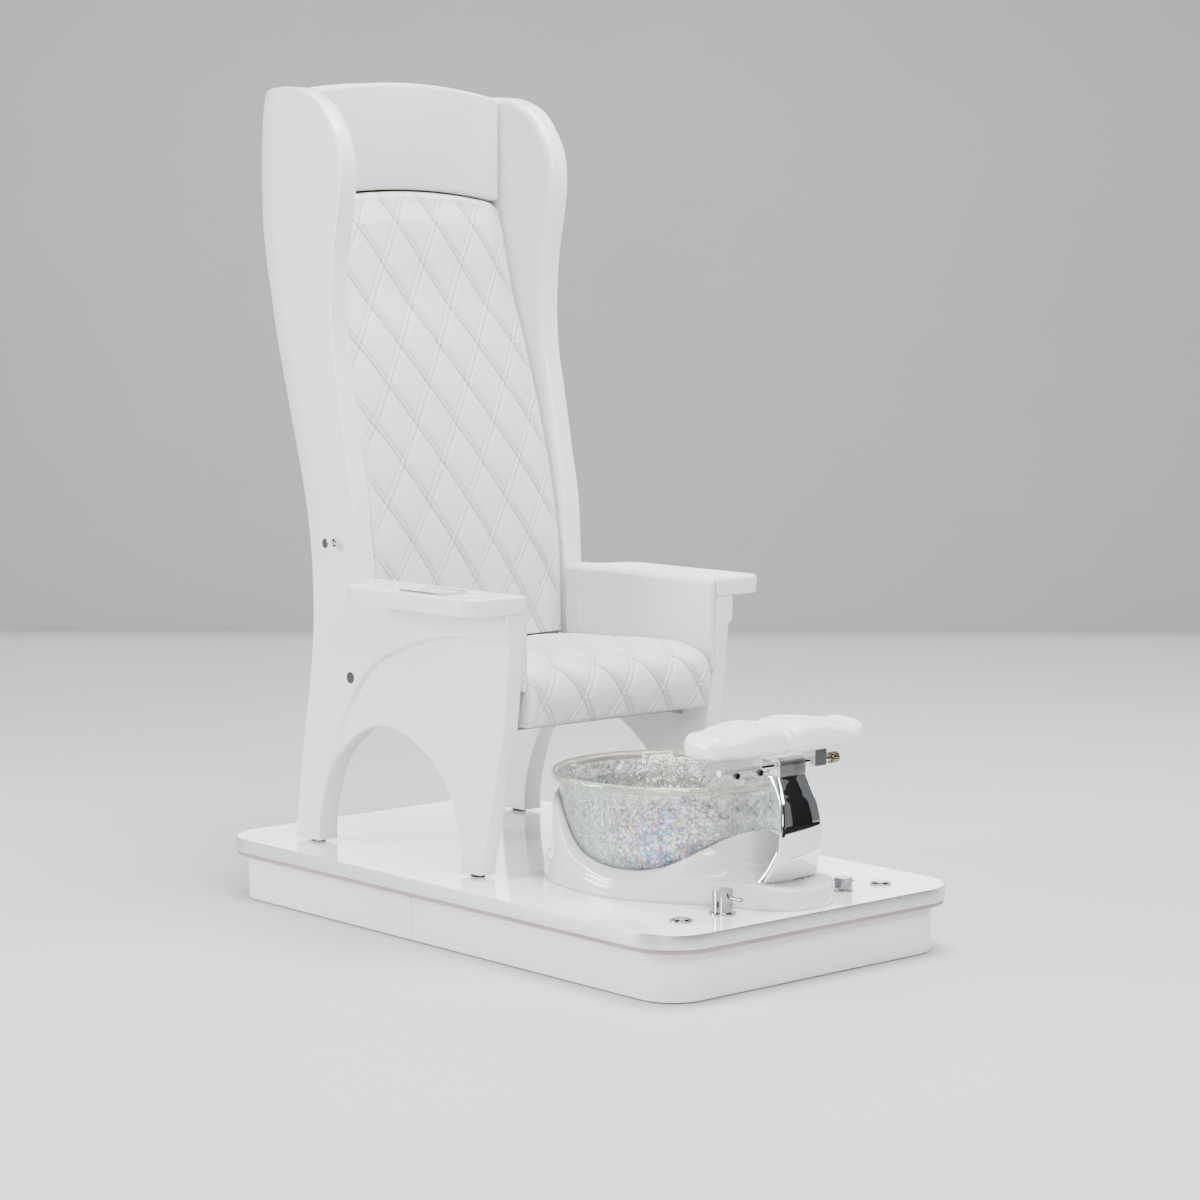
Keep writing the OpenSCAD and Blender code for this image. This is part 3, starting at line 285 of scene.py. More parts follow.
def refined(node, width):
    # a merged copy of a CAD node, with its sharp edges rounded over a width in mm
    source = frame["nodes"][node]
    me = source.data.copy()
    bm = bmesh.new()
    bm.from_mesh(me)
    bm.transform(source.matrix_world)
    bmesh.ops.remove_doubles(bm, verts=bm.verts, dist=2e-6)
    bmesh.ops.dissolve_limit(bm, angle_limit=math.radians(1.2), verts=bm.verts, edges=bm.edges)
    bm.to_mesh(me)
    bm.free()
    me.polygons.foreach_set("use_smooth", np.ones(len(me.polygons), bool))
    o = linked(node + "Piece", me)
    b = o.modifiers.new("edges", "BEVEL")
    b.width, b.segments, b.angle_limit = width * .001, 3, math.radians(30)
    o.modifiers.new("shade", "WEIGHTED_NORMAL").keep_sharp = True
    return standFor(o, node)


# materials

class Sock:
    # a shader value; arithmetic on it adds Math nodes
    def __init__(self, maker, link):
        self.maker, self.link = maker, link

    def math(self, op, *values):
        return self.maker.node("Math", 0, {"operation": op}, dict(enumerate(values)))

    def __add__(self, o):
        return self.math("ADD", self, o)

    def __radd__(self, o):
        return self.math("ADD", o, self)

    def __sub__(self, o):
        return self.math("SUBTRACT", self, o)

    def __rsub__(self, o):
        return self.math("SUBTRACT", o, self)

    def __mul__(self, o):
        return self.math("MULTIPLY", self, o)

    def __rmul__(self, o):
        return self.math("MULTIPLY", o, self)

    def __truediv__(self, o):
        return self.math("DIVIDE", self, o)

    def __rtruediv__(self, o):
        return self.math("DIVIDE", o, self)

    def least(self, o):
        return self.math("MINIMUM", self, o)

    def most(self, o):
        return self.math("MAXIMUM", self, o)

    def size(self):
        return self.math("ABSOLUTE", self)

    def fraction(self):
        return self.math("FRACT", self)

    def bell(self, centre, width):
        # 1 at the centre, falling as exp(-x^2)
        x = (self - centre) / width
        return self.math("EXPONENT", x * x * -1.0)

    def between(self, lo, hi):
        # 0 at lo, 1 at hi, flat outside
        settings = {"clamp": True, "interpolation_type": "SMOOTHSTEP"}
        return self.maker.node("MapRange", 0, settings, {0: self, 1: lo, 2: hi, 3: 0.0, 4: 1.0})


class Finish:
    # a material and its one main shader
    def __init__(self, name, **values):
        self.mat = bpy.data.materials.new(name)
        self.mat.use_nodes = True
        self.tree = self.mat.node_tree
        self.shader = self.tree.nodes["Principled BSDF"]
        self.use(**values)

    def put(self, n, values):
        # sockets by name or number, each linked to a shader value or set to a plain one
        for key, v in values.items():
            s = n.inputs[key]
            if isinstance(v, Sock):
                self.tree.links.new(v.link, s)
            elif s.type == "RGBA" and len(v) == 3:
                s.default_value = (*v, 1)
            else:
                s.default_value = v

    def use(self, **values):
        self.put(self.shader, {k.replace("_", " "): v for k, v in values.items()})

    def node(self, kind, out=0, settings=None, numbered=None, **named):
        # a node of this kind: its settings first, a ramp's stops among them, and then its sockets
        n = self.tree.nodes.new("ShaderNode" + kind)
        for key, v in (settings or {}).items():
            if key == "stops":
                ramp = n.color_ramp
                while len(ramp.elements) < len(v):
                    ramp.elements.new(.5)
                for e, (at, colour) in zip(ramp.elements, v):
                    e.position, e.color = at, (*colour, 1)
            else:
                setattr(n, key, v)
        self.put(n, numbered or {})
        self.put(n, named)
        return Sock(self, n.outputs[out])

    def place(self, scale=(1, 1, 1)):
        # where a point lies on the piece, in metres
        return self.node("Mapping", Vector=self.node("TexCoord", "Object"), Scale=scale)

    def vector(self, op, *values, out=0):
        return self.node("VectorMath", out, {"operation": op}, dict(enumerate(values)))

    def noise(self, size, detail=2.0, rough=.5, scale=(1, 1, 1), warp=0.0):
        # clouds of about this size in metres, with values round .5
        return self.node("TexNoise", Vector=self.place(scale), Scale=1 / size, Detail=detail,
                         Roughness=rough, Distortion=warp)

    def cells(self, size, out=0, feature="F1", at=None):
        # cells of about this size in metres; output 1 is a colour of each cell's own
        return self.node("TexVoronoi", out, {"feature": feature}, Vector=at or self.place(), Scale=1 / size)

    def pair(self, uvName):
        # the two values of a uv map
        uv = self.node("UVMap", settings={"uv_map": uvName})
        return [self.node("SeparateXYZ", k, Vector=uv) for k in (0, 1)]

    def ramp(self, factor, *stops):
        # colours that run from stop to stop, each a position and a colour
        return self.node("ValToRGB", 0, {"stops": stops}, Fac=factor)

    def mix(self, factor, a, b):
        # colour a where the factor is 0 and b where it is 1
        return self.node("Mix", 2, {"data_type": "RGBA"}, {0: factor, 6: a, 7: b})

    def bump(self, height, mm, base=None):
        # relief of this many mm, on top of another relief where there is one
        under = {} if base is None else {"Normal": base}
        return self.node("Bump", Height=height, Distance=mm * .001, Strength=1.0, **under)


def shaded(colour, by):
    return tuple(v * by for v in colour)


finishes = {}

# gloss whites: a faint uneven sheen, and orange peel that is peel mm high and fine metres wide
glossWhites = {
    "gloss_white": dict(name="gelCoatWhite", colour=(.80, .805, .81), rough=.16, coat=.5, peel=.05, fine=.006),
    "shell_white": dict(name="lacquerWhite", colour=(.79, .79, .795), rough=.27, coat=.35, peel=.04, fine=.009),
    # painted light: the deck's white is lighter than the other gloss whites, for the light on its top
    "deckTop": dict(name="deckWhite", colour=(.96, .96, .965), rough=.1, coat=.5, peel=.03, fine=.006),
    # painted shade: the pod's white is darker than the other gloss whites, for the shade on it
    "podTop": dict(name="podWhite", colour=(.68, .68, .685), rough=.18, coat=.5, peel=.05, fine=.006),
    "footPad": dict(name="mouldedPad", colour=(.88, .88, .885), rough=.3, coat=.25, peel=.05, fine=.004)}


def makeGloss(name, colour, rough, coat, peel, fine):
    f = Finish(name)
    haze = f.noise(.35, 3)
    f.use(Base_Color=f.mix(haze.between(.3, .7), colour, shaded(colour, .975)), Coat_Weight=coat,
          Coat_Roughness=.06, Roughness=rough + (haze - .5) * .06, Normal=f.bump(f.noise(fine, 2), peel))
    return f.mat


for look, values in glossWhites.items():
    finishes[look] = makeGloss(**values)

# stitched synthetic leather: grain of small cells, a little broad shading, creases
leather = dict(colour=(.68, .68, .68), grain=.0016, depth=.07, roughness=.42)
# quilting lines: two thin cords either side of each line, stitches outside them, stronger on the first
# family of lines; sizes in mm; shade is the share of the colour left in the grooves' painted shade
cords = dict(wide=100.0, tall=156.0, apart=2.5, thick=1.25, high=1.0, stitch=4.2, shade=.80,
             amounts=(1.0, .72))


def makeLeather(name, c, quilted=None):
    f = Finish(name)
    grain = f.cells(c["grain"], feature="DISTANCE_TO_EDGE")
    broad = f.noise(.12, 4, .6)
    tint = f.mix(broad.between(.3, .72), c["colour"], shaded(c["colour"], .965))
    low = f.bump(f.noise(.035, 5, .65, warp=.6), .18)
    if quilted:
        # distance from the nearest line of each family, from the uv map; a bell curve for each cord.
        # shadow is the painted shade of the sunk grooves beside the cords and of the gap between them
        q = quilted
        u, v = f.pair("quilt")
        scale = 1 / math.hypot(1 / q["wide"], 1 / q["tall"])
        along = .5 * math.hypot(q["wide"], q["tall"])
        relief, shadow = [], []
        for a, b, amount in ((u, v, q["amounts"][0]), (v, u, q["amounts"][1])):
            d = ((a + .5).fraction() - .5).size() * scale
            cord = d.bell(q["apart"], q["thick"])
            sunk = d.bell(q["apart"] + 3.0, 1.7)
            dash = ((b * (along / q["stitch"])).fraction() - .5).size().between(.12, .2)
            relief.append((cord - sunk * .7 - d.bell(q["apart"] + 2.3, .5) * dash * .35) * amount)
            shadow.append((sunk + d.bell(0, .9) * .5) * amount)
        low = f.bump(relief[0].most(relief[1]) + relief[0].least(relief[1]) * .5, q["high"], low)
        # painted shade: the colour darkens along the grooves and the gap between the cords, less on the cords
        dark = shadow[0].most(shadow[1]) - cord * .5
        tint = f.mix(dark.least(1.0).most(0.0), tint, shaded(c["colour"], q["shade"]))
    f.use(Base_Color=tint, Roughness=c["roughness"] + (broad - .5) * .12, Coat_Weight=.08, Coat_Roughness=.3,
          Sheen_Weight=.03, Normal=f.bump(grain.between(0, .22), c["depth"], low))
    return f.mat


finishes["upholstery"] = makeLeather("whiteLeather", leather)
finishes["quilted"] = makeLeather("quiltedLeather", leather, cords)

# plated and bare metals: colour, roughness, and how much a smeared sheen adds to it
metals = {"chrome": ("chromePlate", (.82, .83, .85), .035, .05),
          "bright_steel": ("zincSteel", (.6, .61, .62), .28, .12),
          "brass": ("agedBrass", (.34, .28, .19), .2, .12),
          # painted shade: the taps' chrome is a darker copy of the chrome, for the dark the taps reflect
          "tapChrome": ("tapChrome", (.36, .37, .39), .04, .05),
          "screwBlack": ("blackScrew", (.12, .11, .1), .22, .1)}


def makeMetal(name, colour, roughness, wear):
    f = Finish(name, Metallic=1.0)
    smear = f.noise(.05, 4, .6)
    f.use(Base_Color=colour, Roughness=roughness + smear.between(.45, .8) * wear,
          Normal=f.bump(f.noise(.004, 2), .004))
    return f.mat


for look, values in metals.items():
    finishes[look] = makeMetal(*values)


def makeBrushed(name):
    # brushed along the band: streaks long in x and y, fine in z
    f = Finish(name, Metallic=1.0)
    streak = f.noise(.0012, 3, .6, scale=(.012, .012, 1))
    broad = f.noise(.25, 2)
    f.use(Base_Color=f.mix(streak.between(.3, .7), (.62, .63, .64), (.74, .75, .76)),
          Roughness=.24 + streak * .16 + (broad - .5) * .08, Normal=f.bump(streak, .02))
    return f.mat


finishes["brushed_band"] = makeBrushed("brushedBand")

# plastics, paints and rubber: colour, roughness, size of the grain in metres and its height in mm
# reveal: a dark taupe band under the deck's metal band
plains = {"reveal": ("taupeEdging", (.36, .29, .27), .5, .002, .03),
          "frame_steel": ("blackPowderCoat", (.03, .031, .033), .48, .0012, .05),
          "dark_plastic": ("blackMoulding", (.02, .02, .022), .42, .0015, .04),
          "grey_plastic": ("greyMoulding", (.3, .31, .32), .4, .003, .03),
          "rubber": ("greyRubber", (.05, .05, .052), .72, .002, .08),
          "pex": ("redPipe", (.55, .05, .035), .38, .003, .03),
          "seatPaint": ("greyPaint", (.42, .42, .43), .45, .0015, .04)}


def makePlain(name, colour, roughness, size, depth):
    f = Finish(name)
    broad = f.noise(.08, 3)
    f.use(Base_Color=f.mix(broad.between(.3, .7), colour, shaded(colour, .86)),
          Roughness=roughness + (broad - .5) * .08, Normal=f.bump(f.noise(size, 3), depth))
    return f.mat


for look, values in plains.items():
    finishes[look] = makePlain(*values)


def makeWood(name):
    # plies seen on edge and a long grain on the face
    f = Finish(name)
    grain = f.noise(.01, 5, .6, scale=(.15, 1, 1), warp=.8)
    fine = f.noise(.0018, 3, .6, scale=(.08, 1, 1))
    tint = f.mix(grain.between(.32, .68), (.56, .39, .22), (.42, .27, .14))
    f.use(Base_Color=f.mix(fine.between(.4, .8) * .5, tint, (.3, .18, .09)), Roughness=.6 + (fine - .5) * .15,
          Normal=f.bump(fine, .05))
    return f.mat


finishes["plywood"] = makeWood("birchPly")


def makeClamp(name):
    # milky moulded plastic, a little light passes through
    f = Finish(name, Transmission_Weight=.85, Alpha=.8)
    cloud = f.noise(.03, 3)
    f.use(Base_Color=f.mix(cloud.between(.3, .7), (.90, .86, .88), (.80, .77, .79)),
          Roughness=.24 + (cloud - .5) * .1, Normal=f.bump(f.noise(.004, 2), .03))
    return f.mat


finishes["clampPlastic"] = makeClamp("milkyPlastic")

# hammered glass with a mirror-like film. Dimples are clear, milky or silvered between fine dark lines, and
# in a patch at the front left each fleck has its own rainbow tint. The fine dark lines and the grey and dark
# bands of the clear tints are painted shade, for the dark that the glass shows by refraction. One swirl
# bends every pattern
glassLook = dict(dimple=.0085, depth=2.2, film=418.0, filmIor=1.7, ior=1.48, alpha=.94, clear=.84,
                 patch=(-.17, -.43, .215), reach=.16, swirl=.007, line=.11, dark=(.10, .11, .10),
                 rimFrom=.321)
fleckTints = [(.0, (.98, .34, .08)), (.2, (1.0, .70, .36)), (.3, (.78, .16, .56)), (.42, (.08, .10, .80)),
              (.52, (.02, .32, .95)), (.62, (.05, .74, .86)), (.72, (.99, .99, .96)), (.84, (.44, .18, .88)),
              (1.0, (.16, .55, .98))]
# tints of the clear glass; the dark and grey stops are painted shade
clearTintsAndShade = [(.0, (.22, .24, .22)), (.34, (.50, .54, .50)), (.39, (.98, .99, .97)), (.60, (.99, .99, .99)),
              (.64, (.90, .94, .80)), (.68, (.40, .43, .44)), (.72, (.98, .98, .98)), (1.0, (.99, .99, .99))]
rimTints = [(.0, (.60, .70, .62)), (.40, (.80, .86, .70)), (.48, (.98, .97, .84)), (.54, (.98, .82, .66)),
            (.60, (.88, .92, .84)), (.70, (.66, .78, .70)), (1.0, (.94, .96, .94))]


def makeGlass(name, c):
    f = Finish(name, Transmission_Weight=c["clear"], IOR=c["ior"], Alpha=c["alpha"], Coat_Roughness=.02,
               Thin_Film_Thickness=c["film"], Thin_Film_IOR=c["filmIor"])
    swirl = f.node("TexNoise", 1, Vector=f.place(), Scale=1 / .018, Detail=2, Roughness=.5)
    at = f.vector("MULTIPLY_ADD", swirl, (c["swirl"],) * 3, f.place((1, 1, .8)))
    cell = f.cells(c["dimple"], feature="SMOOTH_F1", at=at)
    edge = f.cells(c["dimple"], feature="DISTANCE_TO_EDGE", at=at)
    # two numbers of each fleck's own: one chooses its tint and the other its silvering
    own = f.cells(c["dimple"] * .5, 1, at=at)
    hue, other = (f.node("SeparateXYZ", k, Vector=own) for k in (0, 1))
    near = f.noise(.07, 3, .6) * .16 + f.vector("DISTANCE", f.place(), c["patch"], out=1)
    where = 1.0 - near.between(c["reach"] * .7, c["reach"] * 1.5)
    rim = f.node("SeparateXYZ", 2, Vector=f.place()).between(c["rimFrom"], c["rimFrom"] + .006)
    # painted shade: fine dark lines along the dimples' edges
    lines = (1.0 - edge.between(.0, c["line"])) * f.noise(.022, 3, .6).between(.42, .54) * (1.0 - rim)
    # the clear tints, with bands of painted shade
    tint = f.ramp(f.noise(.014, 4, .6, warp=1.2), *clearTintsAndShade)
    tint = f.mix(where * .86 * f.noise(.03, 3).between(.30, .46), tint, f.ramp(hue, *fleckTints))
    tint = f.mix(lines * .9, tint, c["dark"])
    tint = f.mix(rim * .85, tint, f.ramp(f.noise(.035, 3, .6, scale=(1, 1, 2.5), warp=.6), *rimTints))
    wave = f.noise(.013, 3, .6, warp=.8)
    f.use(Base_Color=tint, Roughness=.02 + where * .04, Coat_Weight=where * .3 + .5,
          Metallic=other.between(.45, .55) * (where * .5 + .26) * (1.0 - rim),
          Normal=f.bump((cell + wave * .9 + other * .25) * (1.0 - rim * .8), c["depth"]))
    return f.mat


finishes["glass"] = makeGlass("iridescentGlass", glassLook)

# a node has the finish of its slot, or one of its own
# the taps take the darker chrome of painted shade
taps = ("mixer_valve", "mixer_lever", "diverter_valve", "diverter_handle", "button_housings", "jet_button",
        "drain_button")
lookOf = dict(slotOf, **dict.fromkeys(taps, "tapChrome"), deck_panel="deckTop", basin_pod="podTop",
              back_cushion="quilted", seat_cushion="quilted", footrest_pad="footPad", seat_frame="seatPaint",
              thumb_screw_outer="screwBlack", thumb_screw_inner="screwBlack", clamp_housing="clampPlastic",
              footrest_neck="bright_steel", pad_bracket="bright_steel")
for name, o in frame["nodes"].items():
    dress(o, name)
print("finishes ready")


# side shells: outlines are [y, height] points of the front leg, the wing's front and back and the arch

shellForm = dict(inner=246.0, outer=292.0, relief=10.0, ramp=7.0, rampGain=26.0, edge=4.5, innerEdge=4.0,
                 soft=12.0, bevelWide=62.0, bevelDeep=19.0, bevelLow=420.0, bevelFade=520.0, grid=14.0)
frontEdge = [[-49, 6], [-60, 50], [-78, 120], [-97, 200], [-117, 280], [-130, 380], [-137, 450], [-139, 509]]
wingFront = [[314, 509], [317, 563], [325, 680], [345, 780], [371, 910], [386, 980], [392, 1065], [386, 1170],
             [370, 1250], [359, 1325], [366, 1385], [390, 1430], [430, 1474], [490, 1501], [540, 1508]]
wingBack = [[612, 1508], [630, 1500], [637, 1480], [645, 1430], [649, 1330], [646, 1240], [634, 1160],
            [620, 1099], [602, 1017], [571, 908], [536, 801], [506, 713], [484, 630], [471, 555], [465, 470],
            [468, 413], [478, 331], [494, 249], [508, 166], [522, 82], [530, 6]]
archEdge = [[450, 6], [446, 60], [432, 110], [405, 170], [360, 215], [305, 247], [250, 258], [200, 254],
            [150, 236], [105, 210], [70, 183], [44, 146], [24, 100], [13, 50], [10, 6]]
reliefEdge = [[-170, 455], [-92, 459], [27, 455], [88, 445], [150, 430], [213, 407], [261, 384], [303, 351],
              [343, 307], [379, 263], [403, 211], [425, 160], [441, 100], [452, 4]]


def backEdgeAt(z):
    # y of the wing's rear edge at a height
    c = catmull(wingBack, 8)[::-1]
    return np.interp(z, c[:, 1], c[:, 0])


def makeShell(side):
    # outer face: flat, less the step down inside the relief arc, less the slanted band along the upper
    # rear edge (part ramp, part quarter ellipse, that fades out towards the seat)
    c = shellForm
    relief = evenly(catmull(reliefEdge, 10), 3.0)
    low = np.vstack([relief, [[452, -60], [-400, -60], [-400, 455]]])

    def face(p):
        d = distance(p, relief)
        within = np.where(inside(p, low), d, -d)
        step = ease((within + 2.5) / (c["ramp"] + c["rampGain"] * ease((p[:, 0] - 300) / 110)))
        e = 1 - np.clip((backEdgeAt(p[:, 1]) - p[:, 0]) / c["bevelWide"], 0, 1)
        roll = .35 * (1 - np.sqrt(np.clip(1 - e ** 2, 0, 1))) + .65 * e ** 1.35
        roll = roll * ease((p[:, 1] - c["bevelLow"]) / c["bevelFade"])
        return c["outer"] - c["relief"] * step - c["bevelDeep"] * roll
    loop = outlineOf(np.vstack([catmull(k, 14) for k in (frontEdge, wingFront, wingBack, archEdge)]), 2.2)
    # a wide grid of points, and closer rows along the relief arc and along the slanted band
    u, v = np.meshgrid(np.arange(-132, 650, c["grid"]), np.arange(12, 1506, c["grid"]))
    u = u + c["grid"] / 2 * (np.arange(len(u))[:, None] % 2)
    grid = np.column_stack([u.ravel(), v.ravel()])
    line, n = relief[1:-1], outward(relief)[1:-1]
    rear = line[:, 0] > 290
    rows = [line + n * s for s in (-3.5, -2, -.5, 1, 2.5, 4, 6, 9, 13, 18)]
    rows += [line[rear] + n[rear] * s for s in (24, 31)]
    heights = np.arange(430, 1500, 9.0)
    rows += [np.column_stack([backEdgeAt(heights) - s, heights]) for s in (9, 13, 18, 24, 31, 40, 50, 60, 68)]
    keep = (distance(grid, relief) > 22) & ((backEdgeAt(grid[:, 1]) - grid[:, 0] > 74) | (grid[:, 1] < 424))
    extra = np.vstack([grid[keep]] + rows)
    # the rims are sharper at the feet, and the inner one is softer round the wing
    toe = np.clip(np.abs(loop[:, 1] - 6) / 14, .35, 1)
    wing = ease((loop[:, 1] - 550) / 90) * ease((backEdgeAt(loop[:, 1]) - loop[:, 0] - 30) / 60)
    outerEdge, innerEdge = c["edge"] * toe, (c["innerEdge"] + c["soft"] * wing) * toe
    inset = loop - outward(loop) * (outerEdge * 1.25 + .3)[:, None]
    extra = extra[inside(extra, inset)]
    extra = extra[distance(extra, np.vstack([inset, inset[:1]])) > 2.6]
    sign = 1 if side == "right" else -1

    def place(v):
        return np.column_stack([sign * v[:, 2], v[:, 0], v[:, 1] + deckZ])
    o = slab("sideShell_" + side, loop, c["inner"], face, outerEdge, place, extra=extra, radiusLow=innerEdge)
    return standFor(o, "side_shell_" + side)


for side in ("left", "right"):
    makeShell(side)
print("side shells ready")


# upholstery

quilt = dict(wide=100.0, tall=156.0, ridge=2.3, groove=2.1, puff=3.4, amounts=(1.2, .8))
foam = dict(pressure=4.0, voxel=.007, steps=20, cap=.024)


def pointsOf(mesh):
    co = np.empty(len(mesh.vertices) * 3)
    mesh.vertices.foreach_get("co", co)
    return co.reshape(-1, 3)


def puffed(name, verts, faces, cap):
    # cloth run: a closed pad, remeshed evenly, swells under pressure for some steps. Returns its points
    # before and after, in mm, each moved no further than the cap
    o = makeMesh(name, verts, faces)
    bpy.context.view_layer.objects.active = o
    r = o.modifiers.new("remesh", "REMESH")
    r.mode, r.voxel_size = "VOXEL", foam["voxel"]
    me = bpy.data.meshes.new_from_object(o.evaluated_get(bpy.context.evaluated_depsgraph_get()))
    o.modifiers.clear()
    o.data = me
    rest = moved = pointsOf(me)
    cloth = o.modifiers.new("cloth", "CLOTH")
    s = cloth.settings
    s.quality, s.mass = 5, .3
    s.tension_stiffness = s.compression_stiffness = 12
    s.shear_stiffness, s.bending_stiffness = 8, .6
    s.use_pressure, s.uniform_pressure_force = True, foam["pressure"]
    s.effector_weights.gravity = 0
    cloth.point_cache.frame_start, cloth.point_cache.frame_end = 1, foam["steps"]
    scene = bpy.context.scene
    for k in range(1, foam["steps"] + 1):
        scene.frame_set(k)
    out = bpy.data.meshes.new_from_object(o.evaluated_get(bpy.context.evaluated_depsgraph_get()))
    moved = pointsOf(out)
    scene.frame_set(1)
    d = moved - rest
    size = np.linalg.norm(d, axis=1, keepdims=True)
    moved = rest + d * np.minimum(1, cap / np.maximum(size, 1e-9))
    bpy.data.objects.remove(o)
    return rest * 1000, moved * 1000


def field(u, v, value, uRange, vRange, shape):
    # scattered values averaged into cells, holes filled from their neighbours, then smoothed
    nu, nv = shape
    iu = np.clip(((u - uRange[0]) / (uRange[1] - uRange[0]) * nu).astype(int), 0, nu - 1)
    iv = np.clip(((v - vRange[0]) / (vRange[1] - vRange[0]) * nv).astype(int), 0, nv - 1)
    total, count = np.zeros(shape), np.zeros(shape)
    np.add.at(total, (iu, iv), value)
    np.add.at(count, (iu, iv), 1)

    def around(z):
        # sum of each cell and its eight neighbours
        return sum(np.roll(np.roll(z, a, 0), b, 1) for a in (-1, 0, 1) for b in (-1, 0, 1))[1:-1, 1:-1]
    for _ in range(60):
        full = np.pad((count > 0) * 1.0, 1)
        near, many = around(np.pad(total / np.maximum(count, 1), 1) * full), around(full)
        fill = (count == 0) & (many > 0)
        total[fill], count[fill] = (near / np.maximum(many, 1))[fill], 1
    z = total / np.maximum(count, 1)
    for _ in range(3):
        p = np.pad(z, 1, mode="edge")
        z = (p[:-2, 1:-1] + p[2:, 1:-1] + p[1:-1, :-2] + p[1:-1, 2:] + 2 * p[1:-1, 1:-1]) / 6
    return z


def swelling(u, v, value, uRange, vRange, shape):
    # the field of a cloth run's swelling, as a share of nearly its most
    z = field(u, v, value, uRange, vRange, shape)
    return z / max(np.percentile(z, 90), 1e-6)


def sample(z, u, v, uRange, vRange):
    # bilinear reading of a cell table at u, v
    a = np.clip((u - uRange[0]) / (uRange[1] - uRange[0]) * z.shape[0] - .5, 0, z.shape[0] - 1.001)
    b = np.clip((v - vRange[0]) / (vRange[1] - vRange[0]) * z.shape[1] - .5, 0, z.shape[1] - 1.001)
    i, j = a.astype(int), b.astype(int)
    fa, fb = a - i, b - j
    return (z[i, j] * (1 - fa) * (1 - fb) + z[i + 1, j] * fa * (1 - fb) + z[i, j + 1] * (1 - fa) * fb
            + z[i + 1, j + 1] * fa * fb)


def quilting(x, s, edge, strength=1.0):
    # height over the cloth of a diamond lattice: two families of slanted lines, each a soft ridge
    # between two grooves, and a shallow pillow inside each diamond; flat near the pad's edge
    c = quilt
    g = math.hypot(1 / c["wide"], 1 / c["tall"])
    high = np.zeros_like(x)
    pillow = np.ones_like(x)
    for sign, amount in zip((1, -1), c["amounts"]):
        p = x / c["wide"] + sign * s / c["tall"]
        d = np.abs(p - np.round(p)) / g
        ridge = c["ridge"] * np.exp(-(d / 2.3) ** 2)
        high += amount * (ridge - c["groove"] * np.exp(-((d - 5.0) / 2.2) ** 2))
        pillow *= 1 - np.exp(-(d / 15.0) ** 1.4)
    high += c["puff"] * (pillow - .62)
    return high * strength * ease((edge - 9) / 16)


def rimOf(rows, cols):
    # indices of a grid's border, once round
    j, i = np.arange(rows), np.arange(cols)
    last = (rows - 1) * cols
    return np.concatenate([i[:-1], j[:-1] * cols + cols - 1, last + i[::-1][:-1], j[::-1][:-1] * cols])


def quiltMap(o, x, s):
    # uv map whose whole numbers are the two families of quilting lines
    c = quilt
    uv = np.stack([x / c["wide"] + s / c["tall"], x / c["wide"] - s / c["tall"]], -1)
    rim = rimOf(*x.shape)
    uv = uv.reshape(-1, 2)
    uv = np.vstack([uv, uv[rim], uv[rim]])
    corner = np.empty(len(o.data.loops), int)
    o.data.loops.foreach_get("vertex_index", corner)
    o.data.uv_layers.new(name="quilt").data.foreach_set("uv", uv[corner].ravel())


def creases(x, y, seed, size, deep):
    # a few long soft folds: sums of slanted waves whose phases wander
    rng = np.random.default_rng(seed)
    z = np.zeros_like(x)
    for _ in range(7):
        a = rng.uniform(0, math.pi)
        w = size * rng.uniform(.6, 1.7)
        ph = rng.uniform(0, 6.28, 3)
        q = (x * math.cos(a) + y * math.sin(a)) / w
        r = (-x * math.sin(a) + y * math.cos(a)) / (w * 2.6)
        z += np.sin(q * 6.28 + ph[0] + 1.4 * np.sin(r * 6.28 + ph[1])) / 7
    return z * deep


def dome(edge, wide, deep):
    # how far a rounded rim falls away at a distance from its edge: a quarter ellipse
    return deep * (1 - np.sqrt(np.clip(1 - (1 - np.clip(edge / wide, 0, 1)) ** 2, 0, 1)))


def padMesh(name, P, back):
    # closed pad: front grid P (rows, cols, 3), its rim carried back in two steps to the points in back,
    # and one flat face behind
    rows, cols = P.shape[:2]
    rim = rimOf(rows, cols)
    flat, rear = P.reshape(-1, 3), back.reshape(-1, 3)
    n, base = len(rim), rows * cols
    verts = np.vstack([flat, (flat[rim] + rear[rim]) / 2, rear[rim]])
    seq = np.vstack([rim, base + np.arange(n), base + n + np.arange(n)])
    onward = np.roll(seq, -1, 1)
    q = np.stack([seq[:-1], seq[1:], onward[1:], onward[:-1]], -1).reshape(-1, 4)
    behind = [list(range(base + 2 * n - 1, base + n - 1, -1))]
    return makeMesh(name, verts, [gridFaces(rows, cols), q, behind])


innerHalf = 243.0   # half the room between the arm pads' and wings' inner faces
headRest = dict(low=1290.0, top=1504.0, rise=24.0, sag=21.0, gap=2.6, face=519.5, rear=565.0, bow=8.0)
backPad = dict(low=404.0, gap=4.5, side=1.0, thick=58.0, crown=6.0, puff=9.0, centre=844.0, cells=(22, 40))
backLine = [[402, 317], [531, 320], [614, 327], [721, 348], [813, 372], [914, 403], [1021, 440], [1098, 470],
            [1202, 497], [1290, 520], [1400, 520], [1540, 508]]   # height and y of the face


